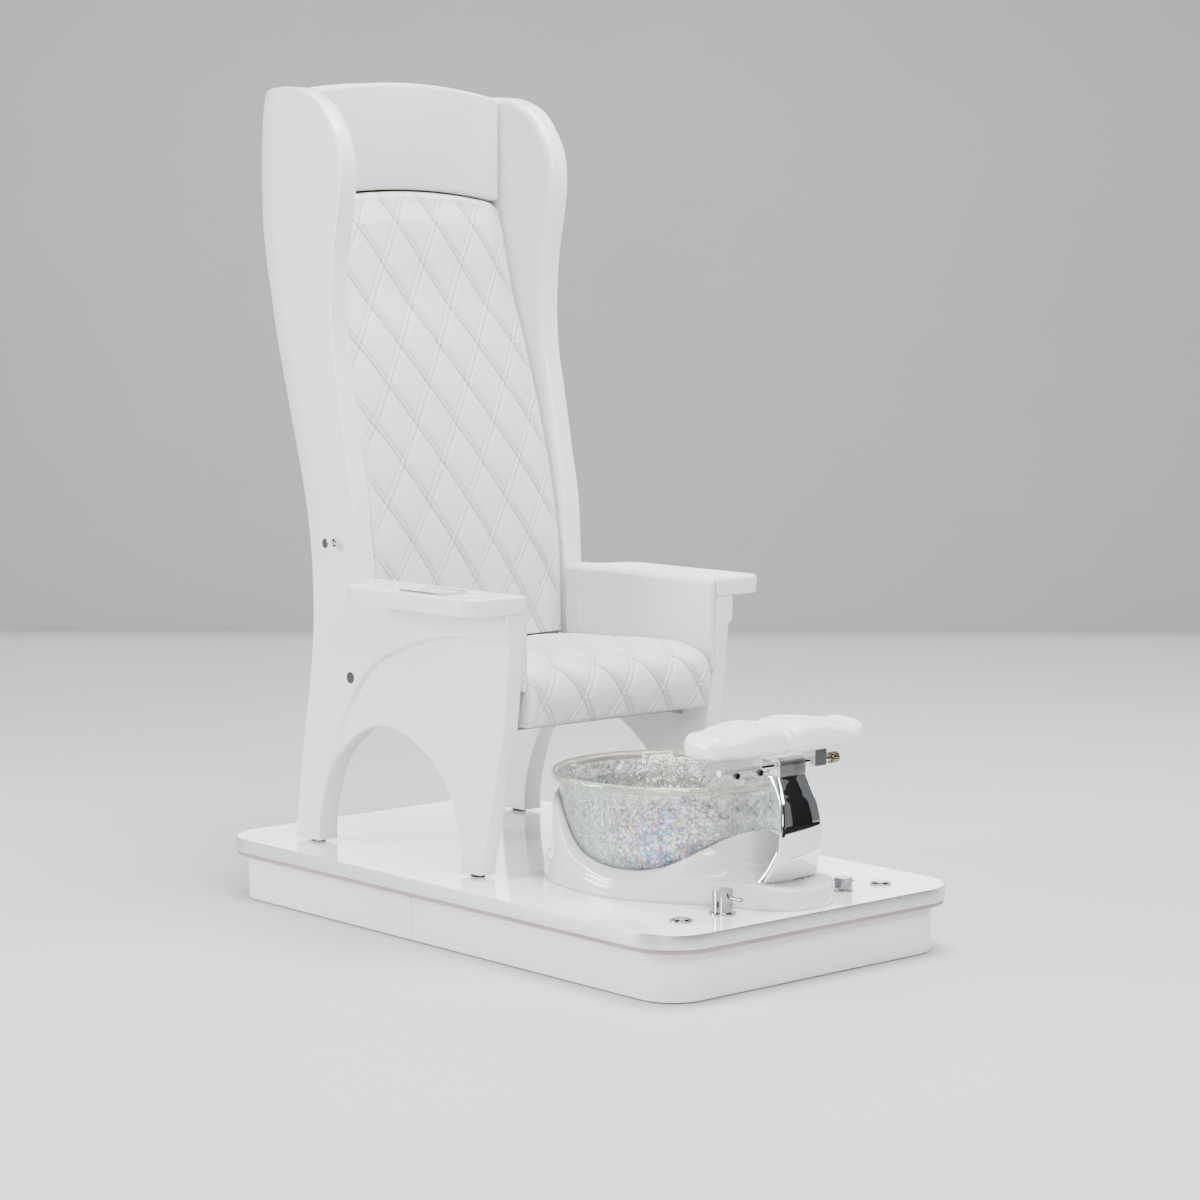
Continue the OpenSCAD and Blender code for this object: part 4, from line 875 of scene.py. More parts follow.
def makeBackCushion():
    # face: the side line carried across with a crown, a domed rim, the cloth run's swelling, quilting
    # and creases. It is quilted from a centre height
    c = backPad
    low, high = c["low"], headRest["low"] - c["gap"]
    half = innerHalf - c["side"]
    ranges = (-half, half), (low, high)

    def line(h):
        return smoothTable(backLine, h)

    def surface(x, h, crown):
        e = np.minimum(half - np.abs(x), high - h)
        return line(h) - crown * (1 - (x / half) ** 2) + dome(e + .6, 13, 15)

    def lift(x, h):
        # the top edge follows the headrest's arch, and its corners are rounded off
        near = np.clip((h - high + 200) / 200, 0, 1)
        corner = 17 * np.clip((np.abs(x) - half + 34) / 34, 0, 1) ** 2.2
        arch = headRest["sag"] * (1 - (x / half) ** 2) * near
        return h + arch - corner * np.clip((h - high + 60) / 60, 0, 1) ** 2
    # the blank for the cloth run, a little slimmer than the finished pad
    up, across = np.linspace(low + 5, high - 5, 60), np.linspace(-half + 5, half - 5, 34)
    h, x = np.meshgrid(up, across, indexing="ij")
    P = np.stack([x, surface(x, h, 2) + 10, h + deckZ], -1)
    B = np.stack([x, line(h) + c["thick"] - 8, h + deckZ], -1)
    blank = np.vstack([P.reshape(-1, 3), B.reshape(-1, 3)])
    rest, moved = puffed("backBlank", blank, pairFaces(*x.shape), foam["cap"])
    front = rest[:, 1] < line(rest[:, 2] - deckZ) + 26
    swell = swelling(rest[front, 0], rest[front, 2] - deckZ, (rest - moved)[front, 1], *ranges, c["cells"])
    # the finished pad
    up, across = low + (high - low) * bunched(372, .07), -half + 2 * half * bunched(212, .14)
    h, x = np.meshgrid(up, across, indexing="ij")
    e = np.minimum(half - np.abs(x), high - h)
    full = np.clip(sample(swell, x, h, *ranges), 0, 1.2)
    y = surface(x, h, c["crown"]) - c["puff"] * full * ease(e / 60) - quilting(x, h - c["centre"], e) \
        - creases(x, h, 3, 210, .8) * ease(e / 50)
    P = np.stack([x, y, lift(x, h) + deckZ], -1)
    B = np.stack([x, line(h) + c["thick"] - .6, lift(x, h) + deckZ], -1)
    o = padMesh("backCushion", P, B)
    quiltMap(o, x, h - c["centre"])
    return standFor(o, "back_cushion")


seatPad = dict(half=233.4, puff=5.0, flat=2.0, start=51.0, bottom=312.0, front=-97.0, lip=291.0,
               cells=(22, 26))
seatLine = [[309, 398.5], [195, 404], [73, 410], [-22, 414], [-70, 411], [-100, 405], [-120, 396],
            [-134, 382], [-142, 360], [-143, 334], [-138, 308], [-130, 290]]   # y and height


def makeSeatCushion():
    # a profile walked from the front's lower edge to the back; the cloth's height over it is a domed rim,
    # the cloth run's swelling, quilting and creases
    c = seatPad
    half = c["half"]
    profile = evenly(catmull(seatLine, 12), 2.0)[::-1]
    s, nrm = lengths(profile), normalsOf(profile)
    total = s[-1]
    ranges = (-half, half), (0, total)

    def at(t):
        return [np.interp(t, s, q) for q in (profile[:, 0], profile[:, 1], nrm[:, 0], nrm[:, 1])]
    # the blank for the cloth run, 8 mm inside the finished pad
    t, x = np.meshgrid(np.linspace(4, total - 4, 44), np.linspace(-half + 5, half - 5, 34), indexing="ij")
    y, z, ny, nz = at(t)
    P = np.stack([x, y - ny * 8, z - nz * 8 + deckZ], -1)
    B = np.stack([x, np.maximum(y, -92), np.where(y > -92, 318, np.clip(z + 6, 298, 318)) + deckZ], -1)
    blank = np.vstack([P.reshape(-1, 3), B.reshape(-1, 3)])
    rest, moved = puffed("seatBlank", blank, pairFaces(*x.shape), foam["cap"])
    # each moved point belongs to the nearest point of the profile, and swells along its normal
    near, far = np.empty(len(rest), int), np.empty(len(rest))
    track = profile[::3]
    for k in range(0, len(rest), 4000):
        part = rest[k:k + 4000, None]
        q = np.hypot(part[..., 1] - track[:, 0], part[..., 2] - deckZ - track[:, 1])
        near[k:k + 4000], far[k:k + 4000] = q.argmin(1) * 3, q.min(1)
    use = far < 14
    gain = ((moved - rest)[:, 1] * nrm[near, 0] + (moved - rest)[:, 2] * nrm[near, 1])[use]
    swell = swelling(rest[use, 0], s[near[use]], gain, *ranges, c["cells"])
    # the finished pad
    t, x = np.meshgrid(np.linspace(0, total, 250), -half + 2 * half * bunched(204, .14), indexing="ij")
    y, z, ny, nz = at(t)
    e = np.minimum(np.minimum(half - np.abs(x), total - t + 6), t + 3)
    full = np.clip(sample(swell, x, t, *ranges), 0, 1.2)
    up = c["flat"] + c["puff"] * full * ease(e / 70) - dome(e + .6, 18, 13) \
        + quilting(x, t - c["start"], e + 4, 1.35) + creases(x, t, 11, 190, .9) * ease(e / 50)
    P = np.stack([x, y + ny * up, z + nz * up + deckZ], -1)
    under = np.where(y > c["front"], c["bottom"], np.clip(z + 1, c["lip"], c["bottom"]))
    o = padMesh("seatCushion", P, np.stack([x, np.maximum(y, c["front"]), under + deckZ], -1))
    quiltMap(o, x, t - c["start"])
    return standFor(o, "seat_cushion")


def makeHeadrest():
    # smooth pad, arched above and below, with gently rounded corners and a few soft creases
    c = headRest
    half, tall = innerHalf - c["gap"], c["top"] - c["low"]
    t, u = np.meshgrid(np.linspace(0, 1, 110), np.linspace(-1, 1, 200), indexing="ij")
    t = .8 * t + .2 * (.5 - .5 * np.cos(math.pi * t))
    u = .85 * u + .15 * np.sin(u * math.pi / 2)
    x = half * u
    z = c["low"] + t * tall + (1 - u ** 2) * (c["sag"] * (1 - t) + c["rise"] * t) - 2 * t
    ends = np.clip((np.abs(x) - half + 16) / 16, 0, 1) ** 2.5
    corner = 9 * ends * (np.clip((t - .9) / .1, 0, 1) ** 2 - .7 * np.clip((.08 - t) / .08, 0, 1) ** 2)
    e = np.minimum(np.minimum(half - np.abs(x), t * tall), (1 - t) * tall)
    y = c["face"] - c["bow"] * (1 - u ** 2) * np.sin(math.pi * t) ** .7 + dome(e + .8, 9, 11) \
        - creases(x, z, 5, 160, .9) * ease(e / 45)
    P = np.stack([x, y, z - corner + deckZ], -1)
    B = np.stack([x, 0 * x + c["rear"], z - corner + deckZ], -1)
    return standFor(padMesh("headrest", P, B), "headrest_pad")


armPad = dict(face=236.0, back=245.8, low=362.0, top=541.0, roll=9.0, front=-136.0, rear=303.0, seam=251.0)


def makeArmPad(side):
    # inner arm pad: flat upholstered panel whose top rolls over, with one upright seam
    c = armPad
    sign = 1 if side == "right" else -1
    low, top, r, seamY = c["low"], c["top"], c["roll"], c["seam"]
    y = np.concatenate([np.linspace(c["front"], seamY - 7, 120), np.linspace(seamY - 6, seamY + 6, 26),
                        np.linspace(seamY + 7, c["rear"], 20)])
    a = np.linspace(0, math.pi / 2, 12)[1:]
    secX = np.concatenate([np.full(40, c["face"]), c["face"] + r * (1 - np.cos(a)) * 1.03, [c["back"] - .1]])
    secZ = np.concatenate([np.linspace(low, top - r, 40), top - r + r * np.sin(a), [top]])
    X, Y = np.meshgrid(secX, y)
    Z = np.broadcast_to(secZ, X.shape)
    seam = 1.5 * np.exp(-((Y - seamY) / 1.7) ** 2) - .5 * np.exp(-((np.abs(Y - seamY) - 6) / 4) ** 2)
    puff = .9 * np.sin(math.pi * np.clip((Z - low) / (top - low), 0, 1)) \
        * ease((Y - c["front"]) / 30) * ease((c["rear"] - Y) / 20)
    X = X + (seam * (X < 244) - puff * (X < 243)) + dome(Y - c["front"] + 1, 7, 6) * (X < 245)
    P = np.stack([sign * X, Y, Z + deckZ], -1)
    B = np.stack([np.full_like(X, sign * c["back"]), Y, Z + deckZ], -1)
    return standFor(padMesh("armPad_" + side, P, B), "arm_pad_" + side)


makeBackCushion()
makeSeatCushion()
makeHeadrest()
for side in ("left", "right"):
    makeArmPad(side)
print("upholstery ready")


# platform and back shell

deck = dict(wide=762.0, long=1364.0, radius=100.0, board=100.0, band=2.5, bandLow=100.2, round=.7)


def roundRect(wide, long, radius):
    # rectangle with round corners, anticlockwise: quarter circles joined by straight runs
    a = np.linspace(0, math.pi / 2, 40)
    x, y = wide / 2 - radius, long / 2 - radius
    arcs = [np.column_stack([sx * x + radius * np.cos(a + t), sy * y + radius * np.sin(a + t)])
            for sx, sy, t in ((1, 1, 0), (-1, 1, math.pi / 2), (-1, -1, math.pi), (1, -1, 1.5 * math.pi))]
    t = np.linspace(0, 1, 40)[1:-1, None]
    return np.vstack([row for arc, onward in zip(arcs, arcs[1:] + arcs[:1])
                      for row in (arc, arc[-1] * (1 - t) + onward[0] * t)])


def ringOf(name, outline, section):
    # closed section of [outward offset, height] carried round a closed outline
    out = outward(outline)
    rows = [np.column_stack([outline + out * o, np.full(len(outline), h)]) for o, h in section]
    faces = gridFaces(len(rows), len(outline), closeRows=True, closeCols=True)
    return makeMesh(name, np.vstack(rows), [faces])


def rounded(section, radius, n):
    # a closed section with every corner rounded: n steps on a parabola between the cut sides
    p = np.asarray(section, float)
    out = []
    for i in range(len(p)):
        a, b, c = p[i - 1], p[i], p[(i + 1) % len(p)]
        u, v = (a - b) / np.linalg.norm(a - b), (c - b) / np.linalg.norm(c - b)
        r = min(radius, .45 * np.linalg.norm(a - b), .45 * np.linalg.norm(c - b))
        t = np.linspace(0, 1, n + 1)[:, None]
        out.append((1 - t) ** 2 * (b + u * r) + 2 * t * (1 - t) * b + t * t * (b + v * r))
    return np.vstack(out)


def makeDeck():
    # a board with softly rounded rims inside a metal band
    c = deck
    board = roundRect(c["wide"] - 2 * c["band"], c["long"] - 2 * c["band"], c["radius"] - c["band"]) * .9998
    o = slab("deckBoard", board, c["board"] + .1, deckZ - .05, 1.0, lambda v: v, radiusLow=.5)
    standFor(o, "deck_panel")
    section = [(0, c["bandLow"]), (0, deckZ), (-c["band"], deckZ), (-c["band"], c["bandLow"])]
    edge = ringOf("edgeBand", roundRect(c["wide"], c["long"], c["radius"]), rounded(section, c["round"], 3))
    standFor(edge, "edge_band")


backPlate = dict(half=245.6, low=262.3, top=1502.0, arch=26.0, thick=10.0, inset=6.0, soft=3.2, softOver=3.5)


def makeBackShell():
    # thin plate along the wings' rear edges, between the wings; its upper edge is an arch
    c = backPlate
    t, u = np.meshgrid(np.linspace(0, 1, 150), np.linspace(-1, 1, 70), indexing="ij")
    tall = c["top"] + c["arch"] * (1 - u ** 2) - c["low"]
    z = c["low"] + tall * t
    outer = backEdgeAt(z) - c["inset"]
    soft = np.clip(1 - (1 - t) * tall / c["softOver"], 0, 1) ** 2 * c["soft"]
    front = np.stack([c["half"] * u, outer - c["thick"] + soft, z + deckZ], -1)
    rear = np.stack([c["half"] * u, outer - soft, z + deckZ], -1)
    o = makeMesh("backShell", np.vstack([front.reshape(-1, 3), rear.reshape(-1, 3)]), pairFaces(*z.shape))
    return standFor(o, "back_shell")


makeDeck()
makeBackShell()
print("platform ready")


# foot bath: the bowl's section is [radius, height] points, and the surround's tables give a height or a
# radius at each angle round the bowl, from the front at -90 to the rear at 90

bath = dict(axis=-290.0, rim=231.0, tube=7.5, rimHigh=205.0, glass=8.0, ledge=45.0, sump=104.0, fit=1.6,
            around=420)
bowlOut = [[34, 16], [106, 16], [122, 18], [152, 27], [183, 50], [196, 70], [205, 94], [215, 132], [220, 161],
           [223, 190], [231, 205]]
podLip = [[-90, 60], [-77, 73], [-72, 94], [-65, 101], [-60, 98], [-45, 69], [-31, 41], [-22, 37], [-8, 38],
          [3, 49], [16, 66], [24, 100], [32, 150], [44, 166], [90, 170]]
podInner = [[-90, 124], [-80, 121], [-68, 108], [-59, 91], [-44, 66], [-33, 55], [-22, 49], [-4, 51], [4, 58],
            [15, 70], [24, 102], [32, 150], [44, 166], [90, 170]]
podFoot = [[-90, 370], [-84, 367], [-79, 355], [-74, 330], [-68.6, 288], [-60, 262], [-48.6, 238], [-35, 228],
           [-20, 224], [-7, 221], [8, 223], [24, 232], [45, 249], [60, 260], [90, 258]]


def bowlRadius(h):
    # the bowl's outer radius at a height
    c = catmull(bowlOut[1:], 8)
    return np.interp(h, c[:, 1], c[:, 0])


def lumps(p, size, seed):
    # smooth random heights in space: values at the corners of a lattice, blended with ease()
    table = np.random.default_rng(seed).uniform(-1, 1, (64, 64, 64))
    q = p / size
    i = np.floor(q).astype(int)
    f = ease(q - i)
    i %= 64
    j = (i + 1) % 64
    ends = ((i, 1 - f), (j, f))
    return sum(table[a[..., 0], b[..., 1], c[..., 2]] * wa[..., 0] * wb[..., 1] * wc[..., 2]
               for a, wa in ends for b, wb in ends for c, wc in ends)


def lathe(name, section, n, raised):
    # closed section of [radius, height] turned about the bowl's axis in n steps, and its points moved by
    # raised(points)
    a = np.arange(n) / n * 2 * math.pi
    s = np.asarray(section)[:, None, :]
    P = np.stack([s[..., 0] * np.cos(a), s[..., 0] * np.sin(a), s[..., 1] + 0 * a], -1)
    P = P + raised(P) + [0, bath["axis"], deckZ]
    return makeMesh(name, P.reshape(-1, 3), [gridFaces(len(section), n, closeRows=True, closeCols=True)])


def makeBowl():
    # section: the outer profile, a rolled rim and the profile again, one glass thickness inside
    c = bath
    prof = evenly(catmull(bowlOut, 12), 3.0)
    outside = prof[prof[:, 1] < c["rimHigh"] - 7]
    within = (prof + normalsOf(prof) * c["glass"])[prof[:, 1] < c["rimHigh"] - 12]
    a0, a1 = (math.atan2(end[1] - c["rimHigh"], end[0] - c["rim"]) for end in (outside[-1], within[-1]))
    a = np.linspace(a0 + .35, a1 + 2 * math.pi - .35, 26)
    rim = np.column_stack([c["rim"] + c["tube"] * np.cos(a), c["rimHigh"] + c["tube"] * np.sin(a)])
    section = np.vstack([outside, rim, within[::-1]])
    # hammering moves a point along the section's normal, less on the rim and on the flat bottom
    g = np.gradient(np.vstack([section[-1:], section, section[:1]]), axis=0)[1:-1]
    side = np.stack([g[:, 1], -g[:, 0]], 1) / np.maximum(np.linalg.norm(g, axis=1, keepdims=True), 1e-9)
    high = section[:, 1]
    amount = (ease((high - 20) / 30) * (1 - .9 * ease((high - 186) / 12)) + .08)[:, None]
    # the two faces of the glass read far parts of the same lumps
    shift = np.where(np.arange(len(section)) < len(outside) + 13, 0.0, 400.0)[:, None, None]

    def hammered(P):
        r = np.hypot(P[..., 0], P[..., 1])
        Q = P + shift
        h = 1.1 * lumps(Q, 17, 4) + 1.05 * lumps(Q * [1, 1, .75], 10.5, 5) + .35 * lumps(Q, 6, 6)
        k = (h - .5 * np.abs(h)) * amount * 1.1 + .35 * lumps(P, 22, 8) * (1 - amount)
        flat = side[:, None, 0] * k / r
        return np.stack([P[..., 0] * flat, P[..., 1] * flat, side[:, None, 1] * k], -1)
    return standFor(lathe("glassBowl", section, c["around"], hammered), "basin_bowl")


def cutCorners(P, sharp):
    # Chaikin: each side keeps its middle half, but reaches the corners that are sharp
    out, kept = [], []
    n = len(P)
    for i in range(n):
        a, b = P[i], P[(i + 1) % n]
        if i in sharp:
            kept.append(len(out))
            out.append(a)
        else:
            out.append(.75 * a + .25 * b)
        if (i + 1) % n not in sharp:
            out.append(.25 * a + .75 * b)
    return np.array(out), kept


def makePod():
    # the surround: for each direction round the bowl a closed section whose foot, outer lip and inner
    # edge come from the tables; its corners are cut three times so the lip and the ledge flow
    c = bath
    ang = np.arange(-180, 180, .8)
    folded = np.where(ang > 90, 180 - ang, np.where(ang < -90, -180 - ang, ang))
    blur = np.exp(-.5 * (np.arange(-6, 7) / 2.2) ** 2)
    blur /= blur.sum()

    def table(t):
        v = smoothTable(t, folded)
        return np.convolve(np.r_[v[-6:], v, v[:6]], blur, "valid")
    foot, high, highIn = table(podFoot), table(podLip), table(podInner)
    lip = np.minimum(foot - 6, c["rim"] + 1)
    w = foot - lip                                   # width of the ledge
    ledge = np.minimum(c["ledge"], high * .6)
    rise = high - ledge
    side = bowlRadius(highIn) + c["fit"]
    one = np.ones_like(foot)
    pts = [[foot, .3 * one], [foot, ledge * .5], [foot - np.minimum(1.6, w * .2), ledge - 4],
           [foot - np.minimum(6.5, w * .42), ledge], [lip + w * .35, ledge + .03 * rise],
           [lip + np.minimum(11, w * .27), ledge + .3 * rise],
           [lip + np.minimum(5, w * .13), high - np.minimum(13, .3 * rise + 5)], [lip - .5, high - 2.2],
           [lip - 5, high + .6], [lip * .5 + side * .5 - 1, high * .5 + highIn * .5 + 1.2],
           [side + 1.5, highIn - .3], [side, highIn - 3.5]]
    for t in (.8, .55, .35, .18, .05):
        z = 28 + (highIn - 28) * t
        pts.append([bowlRadius(z) + c["fit"], z])
    pts += [[r * one, z * one] for r, z in ((134, 19), (118, 15.4), (c["sump"], 13), (c["sump"], .3))]
    P, sharp = np.array(pts), [0, len(pts) - 2, len(pts) - 1]   # points, 2, angles
    for _ in range(3):
        P, sharp = cutCorners(P, sharp)
    a = np.radians(ang)
    V = np.stack([P[:, 0] * np.cos(a), c["axis"] + P[:, 0] * np.sin(a), P[:, 1] + deckZ], -1)
    faces = gridFaces(len(V), len(ang), closeRows=True, closeCols=True)
    return standFor(makeMesh("basinPod", V.reshape(-1, 3), [faces]), "basin_pod")


makePod()
makeBowl()
print("foot bath ready")


# footrest: the column's rows are height, y, thickness and half width

column = [[45.3, -598, 28, 70], [58, -605, 22, 66], [72, -611, 17, 62], [106, -623, 12.5, 54],
          [146, -628, 11.5, 50], [186, -621, 13, 45], [206, -613, 18, 42], [221, -606, 29, 40.5],
          [231, -601, 40, 39.5], [236, -599, 46, 39]]
columnForm = dict(bulge=4.5, bulgeRear=2.7, edge=5.0, rows=130, across=44, round=10)


def makeColumn():
    # bow-shaped post: its plan at each height is a bar with round ends, whose front and rear are parabolas
    f = columnForm
    c = catmull(column, 14)
    z = np.linspace(column[0][0], column[-1][0], f["rows"])
    y0, t, w = (np.interp(z, c[:, 0], c[:, k])[:, None] for k in (1, 2, 3))
    r = np.minimum(f["edge"], t / 2 - .3)
    k = np.linspace(-1, 1, f["across"])
    a = np.linspace(-math.pi / 2, math.pi / 2, f["round"] + 2)[1:-1]
    x = (w - r) * k
    front, rear = y0 + f["bulge"] * (x / w) ** 2, y0 + t + f["bulgeRear"] * (x / w) ** 2
    low, high = y0 + f["bulge"], y0 + t + f["bulgeRear"]
    mid, rad = (low + high) / 2, (high - low) / 2
    X = np.hstack([x, w - r + r * np.cos(a), x[:, ::-1], r - w - r * np.cos(a)])
    Y = np.hstack([front, mid + rad * np.sin(a), rear[:, ::-1], mid - rad * np.sin(a)])
    V = np.stack([X, Y, np.broadcast_to(z[:, None] + deckZ, X.shape)], -1)
    n, m = X.shape
    caps = [[list(range(m))], [list(range(n * m - 1, (n - 1) * m - 1, -1))]]
    o = makeMesh("column", V.reshape(-1, 3), [gridFaces(n, m, closeCols=True)] + caps)
    b = o.modifiers.new("edges", "BEVEL")
    b.width, b.segments, b.angle_limit = .0012, 3, math.radians(50)
    return standFor(o, "footrest_column")


padForm = dict(half=197.0, low=276.3, thick=42.0, depth=123.0, mid=-536.0, channel=7.0, inset=11.0, drop=5.5,
               lift=6.0, dish=6.0)
padRise = [[0, 1], [14, 4], [30, 8.5], [60, 12], [90, 9.5], [118, 4.5], [140, 1.5], [160, .5], [178, 2],
           [192, .5], [205, -5]]   # height of the top over the way out from the middle, for a half of 204.6


def makeFootPad():
    # two humps and a low lobe at each end. A channel with crisp edges runs over the middle, and the
    # right lobe drops behind its hump. The rim rolls over a quarter ellipse above an upright wall
    c = padForm
    half = c["half"]
    u, v = np.meshgrid(np.linspace(-1, 1, 360), np.linspace(-1, 1, 96), indexing="xy")
    u = u * .86 + .14 * np.sin(u * math.pi / 2)
    v = np.sin(v * math.pi / 2) * .5 + .5 * v
    x = half * u
    t = np.abs(x)
    lobe = ease((x - 140) / 9)
    notch = 1 - ease((t - 7) / 2.6)
    # half depth: the front corners have a small radius, the rear ones a long quarter ellipse
    middle = c["depth"] / 2 - (c["inset"] - 4) * notch
    front = (middle - 4 * ease((30 - t) / 26)) * np.sqrt(1 - .62 * np.clip((t - half + 22) / 22, 0, 1) ** 3)
    rear = middle * np.sqrt(np.maximum(.02, 1 - .96 * np.clip((t - 50) / (half - 50), 0, 1) ** 2.3))
    hd = np.where(v < 0, front, rear)
    y = c["mid"] + hd * v
    e = np.minimum(half - t, hd * (1 - np.abs(v)))
    rise = smoothTable(padRise, t * 204.6 / half) - c["channel"] * notch
    rise = rise - c["drop"] * lobe * ease((184 - t) / 30)
    dish = c["dish"] * (1 - v * v) * (1 - .35 * np.exp(-((t - 70) / 26) ** 2 - ((v - .1) / .6) ** 2))
    z = c["low"] + c["thick"] - 3 + rise * (.8 + .2 * (1 - v * v)) + dish - dome(e + .5, 21, 17)
    P = np.stack([x, y, z + deckZ], -1)
    under = c["low"] + c["lift"] * ease((t - 128) / 24)
    B = np.stack([x * .99, c["mid"] + (y - c["mid"]) * .99, under + deckZ], -1)
    return standFor(padMesh("footPad", P, B), "footrest_pad")


makeColumn()
makeFootPad()
print("footrest ready")


# arm shelves: the left one has a hatch opening and a well for a bottle

shelf = dict(front=-142.0, rear=262.0, radius=46.0, inner=246.2, outer=378.0, shell=292.0, end=313.6,
             top=543.0, thick=34.0, edge=4.5, edgeLow=3.0)
hatch = dict(x=326.0, y=34.0, wide=64.0, long=102.0, deep=26.0, edge=.3)
well = dict(x=338.0, y=-90.0, radius=22.0, deep=12.0, edge=2.2)


def makeShelf(side):
    # a board beside the shell: round at both outer corners, then a smooth curve in to the shell's face
    c = shelf
    r, x = c["radius"], c["outer"] - c["radius"]
    a, b = np.linspace(-math.pi / 2, 0, 20), np.linspace(0, math.radians(70), 16)
    loop = np.vstack([[[c["inner"], c["front"]]],
                      np.column_stack([x + r * np.cos(a), c["front"] + r + r * np.sin(a)]),
                      np.column_stack([x + r * np.cos(b), c["rear"] - r + r * np.sin(b)]),
                      catmull([[c["shell"] + 22, c["rear"] + 4], [c["shell"] + 6, c["rear"] + 16],
                               [c["shell"], c["rear"] + 42], [c["shell"], c["end"]]], 8),
                      [[c["inner"], c["end"]]]])
    loop = outlineOf(loop, 1.2, 8, 2)
    sign, holes = 1, []
    if side == "left":
        sign = -1
        t = np.arange(72) / 72 * 2 * math.pi
        ring = well["radius"] * np.column_stack([np.cos(t), np.sin(t)]) + [well["x"], well["y"]]
        corners = np.array([[-1, -1], [1, -1], [1, 1], [-1, 1]]) * [hatch["wide"] / 2, hatch["long"] / 2]
        box = evenly(corners + [hatch["x"], hatch["y"]], 4, True)
        holes = [(ring, well["deep"], well["edge"]), (box, hatch["deep"], hatch["edge"])]
    z = c["top"] + deckZ
    o = slab("armShelf_" + side, loop, z - c["thick"], z, c["edge"], lambda v: v * [sign, 1, 1], holes,
             radiusLow=c["edgeLow"])
    return standFor(o, "arm_shelf_" + side)


for side in ("left", "right"):
    makeShelf(side)
print("arm shelves ready")


# fittings: merged copies with small rounded edges, widths in mm

edges = dict(plinth_front=1.2, plinth_rear=1.2, reveal_strip=.5, hatch_rim=.7, hatch_lid=.6, purse_hook=.8,
             bolt_caps=.5, foot_glides=.8, drain_flange=.5, drain_stopper=.6, jet_cover=1.2,
             footrest_neck=1.5, footrest_axle=.5, clamp_housing=3.0, pad_bracket=1.0, axle_knob=.7,
             thumb_screw_outer=.4, thumb_screw_inner=.4, mixer_valve=.6, mixer_lever=.9,
             diverter_valve=.6, diverter_handle=.8, button_housings=.6, jet_button=.7, drain_button=.7,
             outlet_module=.6)
for name, width in edges.items():
    refined(name, width)
print("fittings ready")


# stage: pale floor and wall, soft lights, dark cards for the chrome and a bright one for the glass; in
# metres, and angles in degrees

view = dict(eye=(-3.871964, -4.453945, 1.24865), yaw=41.458, pitch=5.942, lens=91.52, sensor=36)
floor = dict(colour=(.62, .62, .62), front=12.0, back=7.0, curve=2.0, high=9.0, side=14.0, turn=-41.46)
world = dict(colour=(.85, .88, .92, 1), strength=.24)
# each light: size, place, the point it faces, power
lights = {"key": ((.8, .8), (-3.7, -2.9, 1.15), (0, 0, .85), 32),
          "front": ((2.4, 1.8), (-1.6, -3.9, 3.2), (0, 0, .9), 265),
          "above": ((2.6, 2.6), (.3, -.4, 4.4), (0, -.1, .2), 430),
          "left": ((1.2, 2.4), (-4.0, 2.6, 1.8), (-.3, .2, .8), 330),
          "right": ((.9, 2.4), (3.8, -.6, 1.9), (0, 0, .7), 45)}
dark, white = (.012, .012, .012), (1, 1, 1)
# each card: size, place, the point it faces, colour, strength, and rays that miss it
cards = {"darkLeft": ((1.4, 2.6), (-1.5, -4.9, .8), (0, -.6, .3), dark, 0, None),
         "darkFront": ((1.3, 1.0), (-3.3, -4.6, .5), (0, -.6, .2), dark, 0, None),
         "darkRight": ((1.5, 2.8), (2.5, -3.3, 1.05), (0, -.6, .3), dark, 0, None),
         "darkBehind": ((2.6, 1.5), (1.5, 1.1, .95), (0, -.3, .25), dark, 0, "visible_glossy"),
         "darkGround": ((5.4, 3.4), (.4, -3.1, .012), (.4, -3.1, 1), dark, 0, "visible_transmission"),
         "brightBehind": ((6.0, 1.3), (3.3, 3.7, .75), (0, 0, .1), white, 2.2, "visible_transmission")}


def onStage(name, data, place, aim):
    # an object of the stage, its -Z axis towards the aim
    o = linked(name, data)
    o.location = place
    o.rotation_euler = (Vector(aim) - Vector(place)).to_track_quat("-Z", "Y").to_euler()
    return o


def makeCard(name, size, place, aim, colour, strength, missed):
    # flat rectangle that faces a point and is seen only in reflections and through glass
    me = bpy.data.meshes.new(name)
    w, h = size[0] / 2, size[1] / 2
    me.from_pydata([(-w, -h, 0), (w, -h, 0), (w, h, 0), (-w, h, 0)], [], [(0, 1, 2, 3)])
    o = onStage(name, me, place, aim)
    o.visible_camera = o.visible_shadow = o.visible_diffuse = False
    if missed:
        setattr(o, missed, False)
    f = Finish(name + "Look", Specular_IOR_Level=0)
    f.use(Base_Color=f.mix(f.noise(.5, 2), colour, shaded(colour, .9)))
    if strength:
        f.use(Emission_Color=colour, Emission_Strength=strength)
    me.materials.append(f.mat)


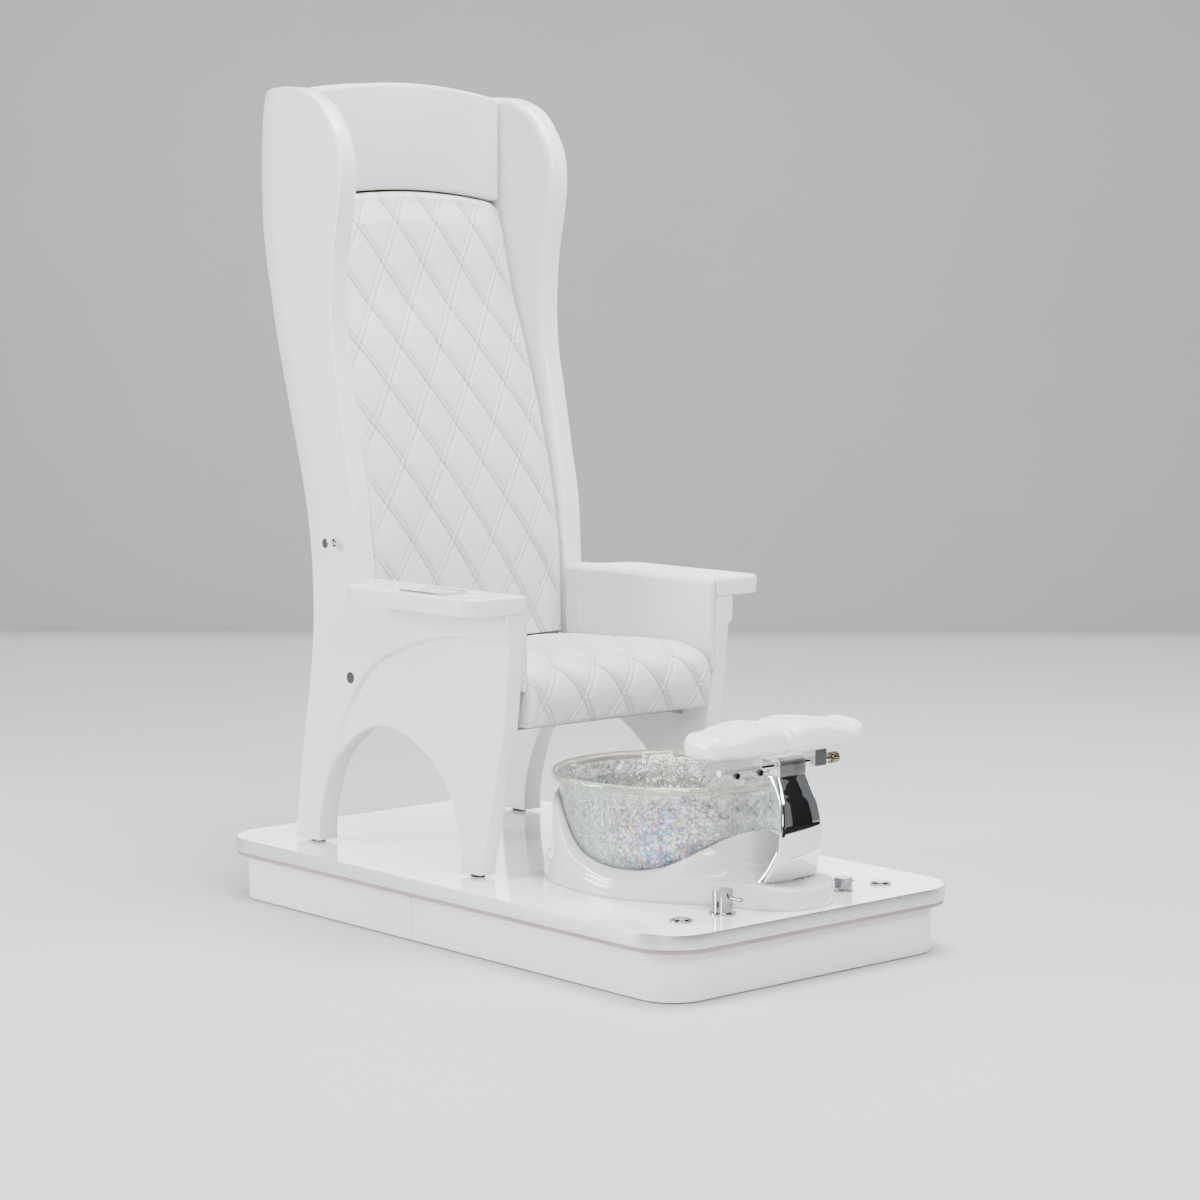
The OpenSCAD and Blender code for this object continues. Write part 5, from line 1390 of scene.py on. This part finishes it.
def makeFloor():
    # floor that rises behind in a quarter circle to a wall: one profile of (y, z), widened along x
    c = floor
    r, back = c["curve"], c["back"] - c["curve"]
    bend = [(back + r * math.sin(a), r - r * math.cos(a)) for a in np.linspace(0, math.pi / 2, 24)]
    prof = [(-c["front"], 0.0), *bend, (c["back"], c["high"])]
    turn = math.radians(c["turn"])
    verts = [(x * math.cos(turn) - y * math.sin(turn), x * math.sin(turn) + y * math.cos(turn), z - .0005)
             for x in (-c["side"], c["side"]) for y, z in prof]
    m = len(prof)
    faces = [(m + i, m + i + 1, i + 1, i) for i in range(m - 1)]
    me = bpy.data.meshes.new("floor")
    me.from_pydata(verts, [], faces)
    me.polygons.foreach_set("use_smooth", np.ones(len(faces), bool))
    f = Finish("floorPaint")
    broad = f.noise(1.6, 3)
    f.use(Base_Color=f.mix(broad.between(.3, .7), c["colour"], shaded(c["colour"], .96)),
          Roughness=.6 + (broad - .5) * .1, Normal=f.bump(f.noise(.01, 3), .05))
    me.materials.append(f.mat)
    linked("floor", me)


def makeLight(name, size, place, aim, power):
    d = bpy.data.lights.new(name, "AREA")
    d.shape, d.size, d.size_y, d.energy = "RECTANGLE", size[0], size[1], power
    onStage(name, d, place, aim)


def makeWorld():
    w = bpy.data.worlds.new("studio")
    w.use_nodes = True
    background = w.node_tree.nodes["Background"]
    background.inputs["Color"].default_value = world["colour"]
    background.inputs["Strength"].default_value = world["strength"]
    bpy.context.scene.world = w


def makeCamera():
    # looks along yaw and pitch from the eye
    c = view
    data = bpy.data.cameras.new("camera")
    data.sensor_width, data.lens = c["sensor"], c["lens"]
    yaw, pitch = math.radians(c["yaw"]), math.radians(c["pitch"])
    look = Vector((math.sin(yaw) * math.cos(pitch), math.cos(yaw) * math.cos(pitch), -math.sin(pitch)))
    bpy.context.scene.camera = onStage("camera", data, c["eye"], Vector(c["eye"]) + look)


makeFloor()
for name, values in lights.items():
    makeLight(name, *values)
for name, values in cards.items():
    makeCard(name, *values)
makeWorld()
makeCamera()
print("stage ready")
